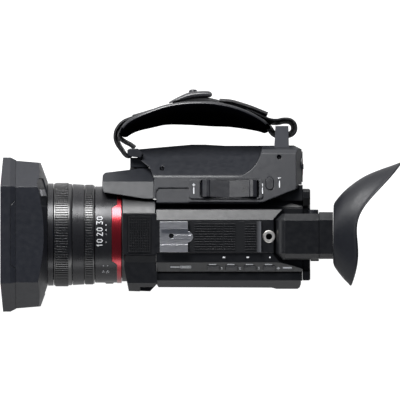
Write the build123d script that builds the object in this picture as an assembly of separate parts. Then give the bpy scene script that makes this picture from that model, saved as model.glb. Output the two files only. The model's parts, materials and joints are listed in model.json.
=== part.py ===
from build123d import *
import math
import os

# Compact camcorder, seen with its lens towards -X, the hand grip on +Y and +Z up. Millimetres.
# The origin is the mouth of the tripod thread, in the plane that the camcorder stands on.

# ---- driving dimensions ----
AXIS_Z = 56.0            # optical axis above the base
RING_R = 43.6            # largest lens ring
WALL = 2.2               # moulded shell wall
GAP = 0.3                # seam between two shells
RUN = 0.08               # radial clearance of a turning fit
FILTER_R = 31.0          # 62 mm filter thread
THREAD_R = 2.65          # tapped hole for a 1/4 inch camera screw
LEG = 0.5                # small edge break

HOOD_FRONT_X = -167.2
HOOD_SEAM_X = -154.6
HOOD_SIDE_X = -133.7     # where the hood's side starts to close in
HOOD_CONE_SLOPE = 2.7    # fall in radius per millimetre behind that
HOOD_REAR_X = -127.9
NOSE_BORE_R = 37.0       # hood's bayonet bore over the nose of the lens
HOOD_RELEASE = (35.0, 96.0)      # centre in (Y, Z)
HOOD_CLAMP = (-33.0, 17.0)
BARREL_FRONT_X = -127.6
COLLAR_FRONT_X = -65.5
BODY_FRONT_X = -36.6
BODY_REAR_X = 92.4
DECK_Z = 103.0
DECK_Y = -1.8            # centre line of the deck fittings
LEFT_Y = -31.0           # wall that the monitor folds against
RIGHT_Y = 29.5           # wall that the grip is screwed to
REAR_PANEL_X = 86.4

VF_AXIS_X = 73.5
VF_AXIS_Z = 101.0
VF_KNUCKLE_R = 10.0
VF_RIGHT_Y = 17.6
VF_LEFT_Y = -21.0
VF_LEAF = (-7.8, 4.2)    # extent of the hinge leaf in Y
VF_FLOOR_Z = 83.5
VF_SPLIT_X = 99.5
VF_END_X = 111.3
VF_TUBE_Z = 98.0         # centre of the eyepiece
VF_TILT = 60.0           # how far the viewfinder tilts up
CUP_WALL = 2.2

LCD_AXIS_X = -42.5
LCD_AXIS_Y = -37.5
LCD_INNER_Y = -31.8
LCD_OUTER_Y = -44.5
LCD_BOTTOM_Z = 33.0
LCD_TOP_Z = 95.0
LCD_REAR_X = 84.6
HINGE_WALL_X = -51.4     # the collar is whole in front of this, the hinge block behind it

GRIP_FRONT_X = -55.0
GRIP_REAR_X = 85.3
GRIP_TOP_Z = 89.0
LIP_Y = 25.6             # edge of the grip's top, over the shoulder of the body
RIDGE_Y = 48.5           # edge between the grip's top and the palm side

TOP_TILT = 15.0          # the grip's top falls away from the body
ROCKER_X0, ROCKER_X1 = 1.0, 48.6
ROCKER_Y = 38.1
ROCKER_WIDTH = 14.6
ROCKER_PIN_Z = 86.6

STRAP_Z = 55.0
STRAP_HALF = 12.5        # half widths: webbing, front lug, rear post, pad
LUG_HALF = 17.0
POST_HALF = 17.3
PAD_HALF = 31.0

WELL = dict(x0=50.0, y=21.0, z0=12.0, z1=66.5)      # battery well


# ---- helpers ----
def face_on(plane, points):
    return plane * make_face(Polyline(*points, close=True))


def prism_x(points, x0, x1):
    """Outline in (Y, Z), from x0 to x1."""
    return extrude(face_on(Plane.YZ.offset(x0), points), x1 - x0)


def prism_y(points, y0, y1):
    """Outline in (X, Z), from y0 to y1."""
    return extrude(face_on(Plane.XZ.offset(-y1), points), y1 - y0)


def prism_z(points, z0, z1):
    """Outline in (X, Y), from z0 to z1."""
    return extrude(face_on(Plane.XY.offset(z0), points), z1 - z0)


def block(x0, x1, y0, y1, z0, z1):
    centre = ((x0 + x1) / 2, (y0 + y1) / 2, (z0 + z1) / 2)
    return Pos(*centre) * Box(x1 - x0, y1 - y0, z1 - z0)


def rod_x(x0, x1, radius, y=0.0, z=AXIS_Z):
    return Pos((x0 + x1) / 2, y, z) * Rot(0, 90, 0) * Cylinder(radius, x1 - x0)


def rod_y(y0, y1, radius, x, z):
    return Pos(x, (y0 + y1) / 2, z) * Rot(90, 0, 0) * Cylinder(radius, y1 - y0)


def rod_z(z0, z1, radius, x, y):
    return Pos(x, y, (z0 + z1) / 2) * Cylinder(radius, z1 - z0)


def turned(points):
    """Outline in (X, radius), revolved about the optical axis."""
    outline = face_on(Plane.XZ, [(x, AXIS_Z + r) for x, r in points])
    return revolve(outline, Axis((0, 0, AXIS_Z), (1, 0, 0)))


def ring_x(x0, x1, r_out, r_in, leg=LEG):
    """Turned ring with broken outer corners."""
    return turned([(x0, r_in), (x0, r_out - leg), (x0 + leg, r_out), (x1 - leg, r_out), (x1, r_out - leg),
                   (x1, r_in)])


def turned_at(y, z, points):
    outline = face_on(Plane.XZ.offset(-y), [(x, z + r) for x, r in points])
    return revolve(outline, Axis((0, y, z), (1, 0, 0)))


def ring_about(y, z, x0, x1, r_out, r_in):
    return rod_x(x0, x1, r_out, y, z) - rod_x(x0 - 1, x1 + 1, r_in, y, z)


def wedge(low_deg, high_deg, reach):
    """Sector in (Y, Z) on the left of the optical axis, between two angles above the horizontal."""
    angles = [math.radians(180 - low_deg - (high_deg - low_deg) * i / 4) for i in range(5)]
    return [(0, AXIS_Z)] + [(reach * math.cos(a), AXIS_Z + reach * math.sin(a)) for a in angles]


def keep_largest(shape):
    """The main solid of a cut shape, without crumbs."""
    return max(shape.solids(), key=lambda s: s.volume)


def octagon(half_w, half_h, flat_w, flat_h, z=AXIS_Z):
    """Long octagon in (Y, Z): flats of half length flat_w on top and flat_h at the sides."""
    quarter = [(flat_w, half_h), (half_w, flat_h), (half_w, -flat_h), (flat_w, -half_h)]
    return [(y, z + h) for y, h in quarter + [(-y, -h) for y, h in quarter]]


def band(points, thickness, z0, z1):
    """Upright strip of webbing whose middle follows the points, given in (X, Y)."""
    sides = ([], [])
    for i, (x, y) in enumerate(points):
        ax, ay = points[max(i - 1, 0)]
        bx, by = points[min(i + 1, len(points) - 1)]
        length = math.hypot(bx - ax, by - ay)
        nx, ny = -(by - ay) / length, (bx - ax) / length
        for side, sign in zip(sides, (0.5, -0.5)):
            side.append((x + nx * thickness * sign, y + ny * thickness * sign))
    left, right = (Spline(*side) for side in sides)
    ends = [Line(left @ 0, right @ 0), Line(left @ 1, right @ 1)]
    return extrude(Plane.XY.offset(z0) * make_face([left, right, *ends]), z1 - z0)


def screw(x, y, z, head_r=2.4, length=6.0):
    """Pan head screw that points down, its head's top at z."""
    head = chamfer((rod_z(z - 1.4, z, head_r, x, y)).edges().group_by(Axis.Z)[-1], 0.4)
    slot_a = block(x - 1.3, x + 1.3, y - 0.3, y + 0.3, z - 0.7, z + 1)
    slot_b = block(x - 0.3, x + 0.3, y - 1.3, y + 1.3, z - 0.7, z + 1)
    return head + rod_z(z - 1.4 - length, z - 1.4, 1.2, x, y) - slot_a - slot_b


def top_z(y):
    """Height of the grip's sloping top."""
    return GRIP_TOP_Z - (y - ROCKER_Y) * math.tan(math.radians(TOP_TILT))


def on_top(shape):
    """Turns what is built level about the rocker's middle line to lie on the grip's sloping top."""
    return shape.rotate(Axis((0, ROCKER_Y, GRIP_TOP_Z), (1, 0, 0)), -TOP_TILT)


parts = {}


# ---- lens ----
CORE_R = 38.1            # tube that the lens rings turn on
ACCENT_R = 40.9
ACCENT_SEAT_X = -69.7    # front of the accent ring where it is narrow
ACCENT_WIDE_X = -73.9    # and where it is wide
ACCENT_END_X = -65.8
KNOB_X0, KNOB_X1 = -79.6, -72.6


def accent_plan(grow, rear_x):
    """Outline in (X, Y) of the wide stretch of the accent ring, with slanted ends."""
    front_x, front, rear = ACCENT_WIDE_X - grow, 22.0 + grow, 25.0 + grow
    return [(front_x, -front), (ACCENT_SEAT_X, -rear), (rear_x, -rear), (rear_x, rear), (ACCENT_SEAT_X, rear),
            (front_x, front)]


def make_lens_rings():
    parts["lens_core_tube"] = turned([
        (-122.9, 34.0), (-122.9, CORE_R), (-106.8, CORE_R), (-106.8, 42.5), (-97.3, 42.0), (-97.3, CORE_R),
        (-88.2, CORE_R), (-88.2, 36.4), (-60.0, 36.4), (-60.0, 34.0),
    ])
    parts["front_ring"] = turned([
        (BARREL_FRONT_X, 43.0), (-123.1, 43.0), (-123.1, 28.6), (-131.0, 28.6), (-133.0, FILTER_R),
        (-139.0, FILTER_R), (-139.0, 36.2), (-138.4, 36.8), (BARREL_FRONT_X, 36.8),
    ])
    parts["focus_ring"] = ring_x(-122.7, -107.1, RING_R, CORE_R + RUN, 1.2)
    parts["control_ring"] = ring_x(-97.0, -88.5, 42.0, CORE_R + RUN, 0.8)


def make_rear_barrel():
    """The accent ring is wide over the top of the barrel and narrow everywhere else."""
    low, high = AXIS_Z + 20, AXIS_Z + 60
    wide = ring_x(ACCENT_WIDE_X, ACCENT_END_X, ACCENT_R, 39.2, 0.3)
    wide = wide & prism_z(accent_plan(0, ACCENT_END_X), low, high)
    parts["accent_ring"] = ring_x(ACCENT_SEAT_X, ACCENT_END_X, ACCENT_R, 37.0, 0.3) + wide
    barrel = turned([(-88.2, 36.7), (-88.2, 40.0), (-87.7, 40.5), (ACCENT_SEAT_X, 40.5),
                     (ACCENT_SEAT_X, 36.7)])
    seat = prism_z(accent_plan(0.1, ACCENT_SEAT_X + 1), low, high)
    barrel -= seat & ring_about(0, AXIS_Z, -80, -60, 45, 39.1)

    # The knob of the light filter selector runs in an arc slot on the lower left of the barrel.
    slot = prism_x(wedge(-49.0, -9.0, 60), KNOB_X0 - 0.4, KNOB_X1 + 0.4)
    parts["rear_barrel"] = barrel - (slot & ring_about(0, AXIS_Z, -82, -70, 45, 38.6))
    knob = prism_x(wedge(-16.0, -10.0, 60), KNOB_X0, KNOB_X1)
    parts["filter_knob"] = knob & ring_x(KNOB_X0, KNOB_X1, 42.0, 38.7, 0.6)


def make_lens_inside():
    parts["front_element"] = turned([
        (-131.0, 0), (-130.6, 8), (-129.3, 16), (-126.4, 24.5), (-124.6, 28.4), (-121.0, 28.4), (-119.0, 22),
        (-117.8, 10), (-117.6, 0),
    ])
    parts["zoom_cell"] = turned([(-100.0, 24.1), (-100.0, 33.4), (-88.0, 33.4), (-88.0, 24.1)])
    parts["zoom_element"] = turned([(-98.5, 0), (-96.0, 24.0), (-91.0, 24.0), (-88.6, 0)])
    board = block(-44.0, -42.4, -17, 17, AXIS_Z - 14, AXIS_Z + 14)
    chip = block(-46.2, -44.0, -9, 9, AXIS_Z - 6, AXIS_Z + 6)
    parts["sensor_board"] = board + chip


# ---- hood ----
def closing_cone(shift):
    """Keeps what lies inside the cone that closes the hood towards the lens."""
    def x_at(radius):
        return HOOD_SIDE_X + shift + (60.0 - radius) / HOOD_CONE_SLOPE
    return turned([(-175, 0), (-175, 90), (x_at(90), 90), (x_at(30), 30), (x_at(30), 0)])


def hood_body(inset):
    front_x = HOOD_FRONT_X - 2 if inset else HOOD_SEAM_X
    front = face_on(Plane.YZ.offset(front_x), octagon(62 - inset, 52.5 - inset, 40 - inset / 2, 22))
    rear = face_on(Plane.YZ.offset(-124), octagon(59.5 - inset, 52 - inset, 40 - inset / 2, 21))
    return loft([front, rear], ruled=True)


def hood_tongue(grow):
    """In the middle of the top and bottom the shell reaches forwards into the rim."""
    x, side, corner = -158.6 - grow, 24.5 + grow, 28.0 + grow
    plan = [(x, -side), (x, side), (x + 3.5, corner), (-150, corner), (-150, -corner), (x + 3.5, -corner)]
    return prism_z(plan, -10, 130) - block(-170, -140, -60, 60, AXIS_Z - 49.5 + grow, AXIS_Z + 49.5 - grow)


def make_hood():
    shell = (hood_body(0) & closing_cone(0)) - (hood_body(WALL) & closing_cone(-2.6))
    shell = shell - rod_x(-160, -120, NOSE_BORE_R) + ring_x(-138.6, HOOD_REAR_X, 39.4, NOSE_BORE_R)
    shell = shell & block(-170, HOOD_REAR_X, -90, 90, -40, 160)

    swept_x = -159.0
    outer = octagon(64.7, 54.6, 40.8, 23)
    rim = prism_x(outer, HOOD_FRONT_X, swept_x) + loft([
        face_on(Plane.YZ.offset(swept_x), outer),
        face_on(Plane.YZ.offset(HOOD_SEAM_X), octagon(62.5, 53.0, 40.2, 22.4))], ruled=True)
    rim -= prism_x(octagon(57.5, 47.5, 37.0, 21), HOOD_FRONT_X - 1, HOOD_SEAM_X + 1)
    for sign in (1, -1):
        corner = [(HOOD_FRONT_X - 1, sign * 40), (HOOD_FRONT_X, sign * 40), (HOOD_FRONT_X + 1.9, sign * 64),
                  (HOOD_FRONT_X + 1.9, sign * 66), (HOOD_FRONT_X - 1, sign * 66)]
        rim -= prism_z(corner, -10, 130)
    shell = shell + (rim & hood_tongue(0) & block(-170, HOOD_SEAM_X, -70, 70, -10, 130))
    parts["hood_rim"] = keep_largest(rim - hood_tongue(0.25))

    # The release sits in a shallow recess high on the right of the rear slope, the clamp low on the left.
    skin = closing_cone(1) - closing_cone(-1.0)
    shell -= skin & block(-140, -120, 24, 47, AXIS_Z + 26, AXIS_Z + 50)
    shell -= skin & block(-140, -120, -49.6, -42, AXIS_Z - 14, AXIS_Z + 14)
    y, z = HOOD_RELEASE
    shell -= block(-145, -120, y - 2.95, y + 2.95, z - 5.2, z + 5.2)
    button = block(-136.5, -120, y - 2.7, y + 2.7, z - 5.0, z + 5.0) & closing_cone(0.6)
    parts["hood_release_button"] = button
    y, z = HOOD_CLAMP
    shell -= rod_x(-150, -120, 2.1, y, z)
    parts["hood_shell"] = keep_largest(shell)
    head = chamfer(rod_x(-127.4, -123.4, 4.6, y, z).edges().filter_by(GeomType.CIRCLE), 0.6)
    parts["hood_clamp_knob"] = head + rod_x(-135.5, -127.4, 2.0, y, z)


# ---- casings ----
KEY_LOW_Z, KEY_TOP_Z, KEY_TOP_Y = 96.4, 101.4, -23.2      # sloped strip that holds the deck keys
BODY_OUTLINE = [
    (-34, 0), (-39, 5), (-39, 27), (LEFT_Y, 29.5), (LEFT_Y, KEY_LOW_Z), (KEY_TOP_Y, KEY_TOP_Z),
    (-15.2, 101.8), (-14.8, DECK_Z), (12.4, DECK_Z), (21.0, 97.6), (22.0, 81), (RIGHT_Y, 78),
    (RIGHT_Y, 5), (25, 0),
]
BODY_HOLLOW = [
    (-33, WALL), (-36.8, 6), (-36.8, 25.5), (LEFT_Y + WALL, 28), (LEFT_Y + WALL, 93.6), (-22.6, 98.6),
    (-14.4, 99.4), (-14.0, 100.4), (11.6, DECK_Z - WALL - 0.4), (18.9, 95.6), (19.9, 79),
    (RIGHT_Y - WALL, 76.3), (RIGHT_Y - WALL, 6), (24, WALL),
]
SIDE_LOW_Z, SIDE_TOP_Z = 4.0, 94.6       # seams of the side casings with the base and the top
SIDES_END_X = REAR_PANEL_X - GAP
BUTTON_XS = [11.1, 26.4, 42.0, 58.0]
HANDLE_THREAD = (57.8, -1.6)
HEEL_PLAN = [(54, RIGHT_Y - 1), (55, RIGHT_Y), (79.5, 40.4), (82.5, 41.6), (SIDES_END_X, 41.6),
             (SIDES_END_X, RIGHT_Y - 1)]
HEEL_RAMP = [(50, 70), (87, 86), (87, 95), (50, 95)]     # in (X, Z), what is left open above the swelling
VF_RECESS = [(61.6, -17.0), (61.6, 13.2), (71.4, 23.5), (95, 23.5), (95, -30), (91, -30), (78, -26),
             (66.5, -23)]


def button_slot(x, grow, z_low, z_high):
    """Rectangle for one deck button, square to the sloped strip that holds it."""
    slope = (KEY_TOP_Z - KEY_LOW_Z) / (KEY_TOP_Y - LEFT_Y)
    y = LEFT_Y + 2.9
    seat = Pos(x, y, KEY_LOW_Z + slope * (y - LEFT_Y)) * Rot(math.degrees(math.atan(slope)), 0, 0)
    return seat * Pos(0, 0, (z_low + z_high) / 2) * Box(9.8 + grow, 4.2 + grow, z_high - z_low)


def well_box(grow, x1):
    """Battery well, grown by the thickness of its walls, from its floor to x1."""
    half = WELL["y"] + grow
    return block(WELL["x0"] - grow, x1, -half, half, WELL["z0"] - grow, WELL["z1"] + grow)


def recess_column(gap, x1, z1):
    """What the top casing takes in under the viewfinder."""
    return block(60, x1, -28.5, RIGHT_Y - 6.8, VF_FLOOR_Z - WALL - 0.6 - gap, z1)


def body_shell():
    """Walls of the whole body in one, with its recesses, before it is divided at the seams."""
    hollow = prism_x(BODY_HOLLOW, BODY_FRONT_X - 1, REAR_PANEL_X + 3)
    recess_walls = [(x - WALL if x < 90 else x + 4, y * 1.08) for x, y in VF_RECESS]
    hollow -= prism_z(recess_walls, VF_FLOOR_Z - WALL, 120)
    hollow -= well_box(WALL, 100)
    shell = prism_x(BODY_OUTLINE, BODY_FRONT_X, BODY_REAR_X) - hollow
    shell -= prism_z(VF_RECESS, VF_FLOOR_Z, 120)
    for x in BUTTON_XS:
        shell -= button_slot(x, 0.3, -6, 3)
    return shell - well_box(0, 100)


def make_top_casing(shell):
    region = block(-100, SIDES_END_X, -60, 60, SIDE_TOP_Z, 130) + recess_column(0, SIDES_END_X, SIDE_TOP_Z)
    top = (shell & region) - well_box(WALL, REAR_PANEL_X)
    top -= block(-63.0, -40, -17.0, 16.2, DECK_Z - 2.6, DECK_Z + 1)
    # The front of the deck reaches forwards over the lens collar and carries the microphones.
    mic_section = [(18.2, 90), (18.2, 102.4), (17.6, DECK_Z), (-16.8, DECK_Z), (-16.8, 90)]
    mic_block = prism_x(mic_section, -64.6, BODY_FRONT_X)
    mic_block -= rod_x(-70, -30, 42.0)
    mic_block -= block(-60.5, -41.0, -15.2, 16.0, DECK_Z - 2.0, DECK_Z + 1)
    parts["top_casing"] = keep_largest(top + mic_block - rod_z(90, 120, 3.9, *HANDLE_THREAD))


def make_side_casings(shell):
    low, high = SIDE_LOW_Z + GAP, SIDE_TOP_Z - GAP
    left = shell & block(-100, SIDES_END_X, -60, -GAP / 2, low, high)
    right = shell & block(-100, SIDES_END_X, GAP / 2, 60, low, high)
    taken = well_box(WALL, REAR_PANEL_X) + recess_column(GAP, REAR_PANEL_X + 0.6, 96)
    heel = prism_z(HEEL_PLAN, 5, 88) - prism_y(HEEL_RAMP, 20, 50)
    parts["left_casing"] = keep_largest(left - taken)
    parts["right_casing"] = keep_largest(right - taken + heel)
    base = shell & block(-100, SIDES_END_X, -60, 60, -5, SIDE_LOW_Z)
    parts["base_plate"] = keep_largest(base - block(-20.2, 16.2, -14.2, 14.2, -1, 5))


def make_rear_panel(shell):
    section = [(-34, 4.3), (-38.4, 9), (-38.4, 94.5), (-31, 96), (-27.4, 92.6), (-27.4, 80), (22, 80),
               (24.5, 84.5), (30.5, 88), (36, 88), (38.4, 85), (38.4, 9), (34, 4.3)]
    plate = prism_x(section, REAR_PANEL_X, BODY_REAR_X)
    rear = chamfer(plate.edges().group_by(Axis.X)[-1], 1.0) + (shell & well_box(WALL, REAR_PANEL_X))
    rear -= well_box(0, 100) & block(REAR_PANEL_X - 1, 100, -60, 60, 0, 120)
    rear -= prism_z(VF_RECESS, VF_FLOOR_Z, 120)
    rear -= block(BODY_REAR_X - 2.2, BODY_REAR_X + 1, -9.2, 9.2, 69.6, 75.4)
    parts["rear_panel"] = keep_largest(rear)


def make_front_collar():
    collar = ring_x(COLLAR_FRONT_X, BODY_FRONT_X - GAP, 41.8, 36.7, 0.8)
    collar += block(-62.0, BODY_FRONT_X - GAP, -33, 29, 4.0, AXIS_Z) - rod_x(-70, -30, 39.0)
    # Flats for the monitor hinge and the grip.
    collar -= block(-66, -30, -60, -16.8, 28, 120) - rod_x(-70, HINGE_WALL_X, 39.4)
    collar -= block(-39.2, -30, 29.4, 60, 0, 120)
    parts["front_collar"] = keep_largest(collar)


def make_casings():
    shell = body_shell()
    make_top_casing(shell)
    make_side_casings(shell)
    make_rear_panel(shell)
    make_front_collar()


def make_hinge_block():
    outline = [(-63.4, -17.2), (-63.4, -28), (-59.7, -47.3), (-42, -47.9), (-35.9, -41.2),
               (-35.9, LEFT_Y - 0.2), (BODY_FRONT_X - GAP, LEFT_Y - 0.2), (BODY_FRONT_X - GAP, -17.2)]
    hinge = prism_z(outline, 30.0, 103)
    above = [(-17, 102.6), (-23.5, 99.7), (-40.5, 99.5), (-49, 91), (-49, 110), (-17, 110)]
    hinge -= prism_x(above, -70, -30)
    hinge -= prism_y([(-64, 98.5), (-61.8, 104), (-64, 104)], -60, -10)
    hinge -= rod_x(-70, HINGE_WALL_X, 41.9) + rod_x(HINGE_WALL_X - 1, -30, 26.0)
    hinge -= block(-50.4, -30, -60, LEFT_Y - 0.2, 31.8, 96.0)
    hinge -= rod_z(31.8, 96.0, 6.8, LCD_AXIS_X, LCD_AXIS_Y)
    hinge -= rod_z(30.8, 98.8, 1.5, LCD_AXIS_X, LCD_AXIS_Y)
    parts["monitor_hinge_block"] = keep_largest(hinge)
    parts["monitor_hinge_pin"] = rod_z(30.8, 98.8, 1.5, LCD_AXIS_X, LCD_AXIS_Y)


def make_monitor():
    knuckle = rod_z(LCD_BOTTOM_Z, LCD_TOP_Z, 5.6, LCD_AXIS_X, LCD_AXIS_Y)
    outline = [(LCD_AXIS_X, LCD_INNER_Y - 0.1), (LCD_REAR_X - 1.5, LCD_INNER_Y - 0.1),
               (LCD_REAR_X, LCD_INNER_Y - 2), (LCD_REAR_X, -41.2), (LCD_REAR_X - 1.0, -44.2),
               (LCD_REAR_X - 2.8, LCD_OUTER_Y - 1.0), (64, LCD_OUTER_Y - 1.0), (60, LCD_OUTER_Y),
               (-34.8, LCD_OUTER_Y + 0.4), (-36.9, LCD_AXIS_Y - 3.0), (LCD_AXIS_X, LCD_AXIS_Y - 5.2)]
    panel = prism_z(outline, LCD_BOTTOM_Z, LCD_TOP_Z)
    outer_edge = [(LCD_OUTER_Y + 7.2, LCD_TOP_Z + 1), (LCD_OUTER_Y + 6.2, LCD_TOP_Z),
                  (LCD_OUTER_Y - 2, LCD_TOP_Z - 7.5), (LCD_OUTER_Y - 2, LCD_TOP_Z + 1)]
    panel -= prism_x(outer_edge, -36, 100)
    panel = panel + knuckle - rod_z(0, 120, 1.5 + RUN, LCD_AXIS_X, LCD_AXIS_Y)
    x0, x1, z0, z1 = -16.0, 64.0, 40.0, 86.0
    glass = block(x0, x1, LCD_INNER_Y - 1.3, LCD_INNER_Y - 0.1, z0, z1)
    panel -= block(x0 - 0.1, x1 + 0.1, LCD_INNER_Y - 1.3, LCD_INNER_Y + 1, z0 - 0.1, z1 + 0.1)
    parts["monitor_housing"] = panel
    parts["monitor_screen"] = glass


# ---- grip side ----
GRIP_SECTION = [(RIGHT_Y, 12), (34, 7), (64, 7), (72, 14), (75.6, 40), (75.6, 66), (71.5, top_z(68) - 3),
                (68, top_z(68)), (27.4, top_z(27.4)), (LIP_Y, top_z(27.4) - 2), (LIP_Y, 83), (RIGHT_Y, 80)]
GRIP_PLAN = [(-36.4, LIP_Y), (-36.4, 29.6), (-38.6, 30.2), (-38.6, 47), (-42, 56), (-51.4, 63.5),
             (GRIP_FRONT_X, 67.5), (-54.4, 71.4), (-30, 73.6), (-2.5, 76.0), (21, 74.6), (59, 74.7),
             (79, 74.9), (GRIP_REAR_X, 71.6), (GRIP_REAR_X, 40.1), (48.6, LIP_Y)]
POD_SEAM_PLAN = [(-38.7, 20), (-38.7, 47.0), (-42.1, 56.1), (-52, 64), (-30, 64), (-30, 20)]
LUG_BAR = (-59.4, 69.3)    # bar at the front of the grip that the strap goes round
LUG_BAR_R = 1.4
CARD_SLOT_YS = (50.0, 58.0)
GRIP_SCREWS = [(-31.8, 55.6, 78.2), (66.4, 65.0, 81.8)]
RECORD_Y, RECORD_Z = 57.0, 64.0
OVAL_X, OVAL_Y, OVAL_HALF = 58.5, 42.9, 2.3     # button behind the rocker and half its straight length
SLOPE_FOOT = (79, 49)      # in (Y, Z), where the palm's slope would end


def palm_scoop(lift):
    """Space for the palm above a slope that falls from the ridge, closed by a curved wall at the heel."""
    ridge, (foot_y, foot_z) = RIDGE_Y - 2.4 + lift, SLOPE_FOOT
    slope = [(ridge, 90), (foot_y + lift, foot_z), (90, foot_z), (90, 95), (ridge, 95)]
    front_x, heel_x, side, outside = -70, 52, RIDGE_Y - 1, 95
    edges = [Line((front_x, side), (16, side)), Line((16, side), (16, RIDGE_Y)),
             ThreePointArc((16, RIDGE_Y), (42, 54), (heel_x, 74)), Line((heel_x, 74), (heel_x, outside)),
             Line((heel_x, outside), (front_x, outside)), Line((front_x, outside), (front_x, side))]
    plan = extrude(Plane.XY.offset(30) * make_face(edges), 70)
    return prism_x(slope, front_x, 60) & plan


def heel_room():
    """Keeps the grip clear of the body's swelling in front of the rear panel."""
    reach = [(54.4, 20), (54.4, RIGHT_Y), (79.3, 40.8), (82.4, 42.0), (95, 42.0), (95, 20)]
    return prism_z(reach, 0, 95) - prism_y([(x, z + 0.4) for x, z in HEEL_RAMP], 10, 50)


def grip_solid():
    """Outside of the grip: the tilted top, the palm's slope and the wall beside the pod."""
    solid = prism_x(GRIP_SECTION, -60, 90) & prism_z(GRIP_PLAN, 0, 100)
    solid -= palm_scoop(0)
    crest = [e for e in solid.edges() if e.center().Z > 78 and 44 < e.center().Y < 56 and e.length > 12]
    solid = fillet(crest, 4.0)
    solid += prism_z([(-58.6, 56.5), (-58.6, 64.6), (-46, 64.6), (-41, 56.5)], 14, 66)
    groove = [(-37, 15), (-37, 36), (-34.5, 39.2), (-9.4, 39.2), (-9.4, 15)]
    solid -= on_top(prism_z(groove, GRIP_TOP_Z - 0.8, 95))
    rear_slope = [(80.6, GRIP_TOP_Z + 1), (80.6, GRIP_TOP_Z), (GRIP_REAR_X + 0.6, 81), (90, 81), (90, 95)]
    solid -= on_top(prism_y(rear_slope, 0, 90))
    return solid - heel_room()


def grip_hollow():
    section = [(y + (WALL if y < 50 else -WALL), z + (WALL if z < 50 else -WALL)) for y, z in GRIP_SECTION]
    plan = [(min(max(x * 0.955, -50), GRIP_REAR_X - WALL - 1.5), y * 0.93 + 3.4) for x, y in GRIP_PLAN]
    return (prism_x(section, -60, 90) & prism_z(plan, 0, 100)) - palm_scoop(-3.2)


def grip_openings():
    """Seats in the grip's walls for the rocker, buttons, card door, screws and the strap's post."""
    rear = GRIP_REAR_X
    cuts = [
        on_top(block(ROCKER_X0 - 2.4, ROCKER_X1 + 2.4, ROCKER_Y - 8.6, ROCKER_Y + 8.6, 80, 95)),
        on_top(pill_prism(0.3, 80, 95)),
        rod_x(rear - 3.0, rear + 1, 13.6, RECORD_Y, RECORD_Z),
        rod_x(rear - 12.0, rear + 1, 7.6, RECORD_Y, RECORD_Z),
        block(rear - 2.4, rear + 1, 42.8, 68.2, 13.8, 46.2),
        block(62.0, 75.0, 70.0, 80.0, STRAP_Z - POST_HALF - 0.2, STRAP_Z + POST_HALF + 0.2),
    ]
    cuts += [block(rear - 8, rear, y, y + 2.6, 17, 41) for y in CARD_SLOT_YS]
    for x, y, z in GRIP_SCREWS:
        cuts.append(rod_z(z - 3.0, 100, 1.9, x, y) + rod_z(z - 6.0, 100, 1.3, x, y))
    return cuts


def strap_lug():
    """Two ears at the front of the grip with the bar for the strap between them."""
    ear_plan = [(-61.0, 67.2), (-61.0, 71.0), (-59.0, 72.2), (-52, 72.2), (-48, 68.0), (-50, 64.6),
                (-59, 65.6)]
    low, high = STRAP_Z - LUG_HALF, STRAP_Z + LUG_HALF
    room = block(-70, GRIP_FRONT_X - 0.4, 60.0, 80.0, STRAP_Z - STRAP_HALF - 0.8, STRAP_Z + STRAP_HALF + 0.8)
    return prism_z(ear_plan, low, high) - room + rod_z(low, high, LUG_BAR_R, *LUG_BAR)


def make_grip():
    shell = grip_solid() - grip_hollow()
    for opening in grip_openings():
        shell -= opening
    parts["grip_shell"] = keep_largest(shell + strap_lug())


def pill_prism(grow, z0, z1):
    """Upright prism for the oval button behind the rocker."""
    half, low, high = 3.2 + grow / 2, OVAL_Y - OVAL_HALF, OVAL_Y + OVAL_HALF
    ends = rod_z(z0, z1, half, OVAL_X, low) + rod_z(z0, z1, half, OVAL_X, high)
    return block(OVAL_X - half, OVAL_X + half, low, high, z0, z1) + ends


def make_rocker():
    """Seesaw key, dished between two raised ends, on a boss that turns on the bezel's pin."""
    x0, x1 = ROCKER_X0, ROCKER_X1
    y0, y1 = ROCKER_Y - ROCKER_WIDTH / 2, ROCKER_Y + ROCKER_WIDTH / 2
    middle = (x0 + x1) / 2
    tub = block(x0 - 2.1, x1 + 2.1, ROCKER_Y - 8.3, ROCKER_Y + 8.3, 80.4, GRIP_TOP_Z + 0.2)
    plate = block(-9.2, 52.8, ROCKER_Y - 8.5, ROCKER_Y + 8.5, GRIP_TOP_Z + 0.05, GRIP_TOP_Z + 1.0)
    tub = tub + fillet(plate.edges().filter_by(Axis.Z), 2.5)
    room = block(x0 - 0.9, x1 + 0.9, y0 - 0.3, y1 + 0.3, 81.8, 95)
    tub -= fillet(room.edges().filter_by(Axis.Z), 2.2)
    tub = tub + rod_y(ROCKER_Y - 8.0, ROCKER_Y + 8.0, 1.2, middle, ROCKER_PIN_Z)
    parts["rocker_bezel"] = on_top(tub)

    top = [(0, 88.2), (1.2, 91.0), (4.2, 92.6), (6.6, 92.2), (7.4, 91.2)]
    under = [(middle + 3.2, 85.6), (middle + 2.0, 84.0), (middle - 2.0, 84.0), (middle - 3.2, 85.6)]
    outline = [(x0 + d, z) for d, z in top] + [(middle, 89.9)] + [(x1 - d, z) for d, z in reversed(top)]
    outline += [(x1 - 0.8, 86.6), *under, (x0 + 0.8, 86.6)]
    key = prism_y(outline, y0, y1) & fillet(block(x0, x1, y0, y1, 80, 95).edges().filter_by(Axis.Z), 2.0)
    key -= rod_y(ROCKER_Y - 9, ROCKER_Y + 9, 1.2 + RUN, middle, ROCKER_PIN_Z)
    parts["zoom_rocker"] = on_top(key)


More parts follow.
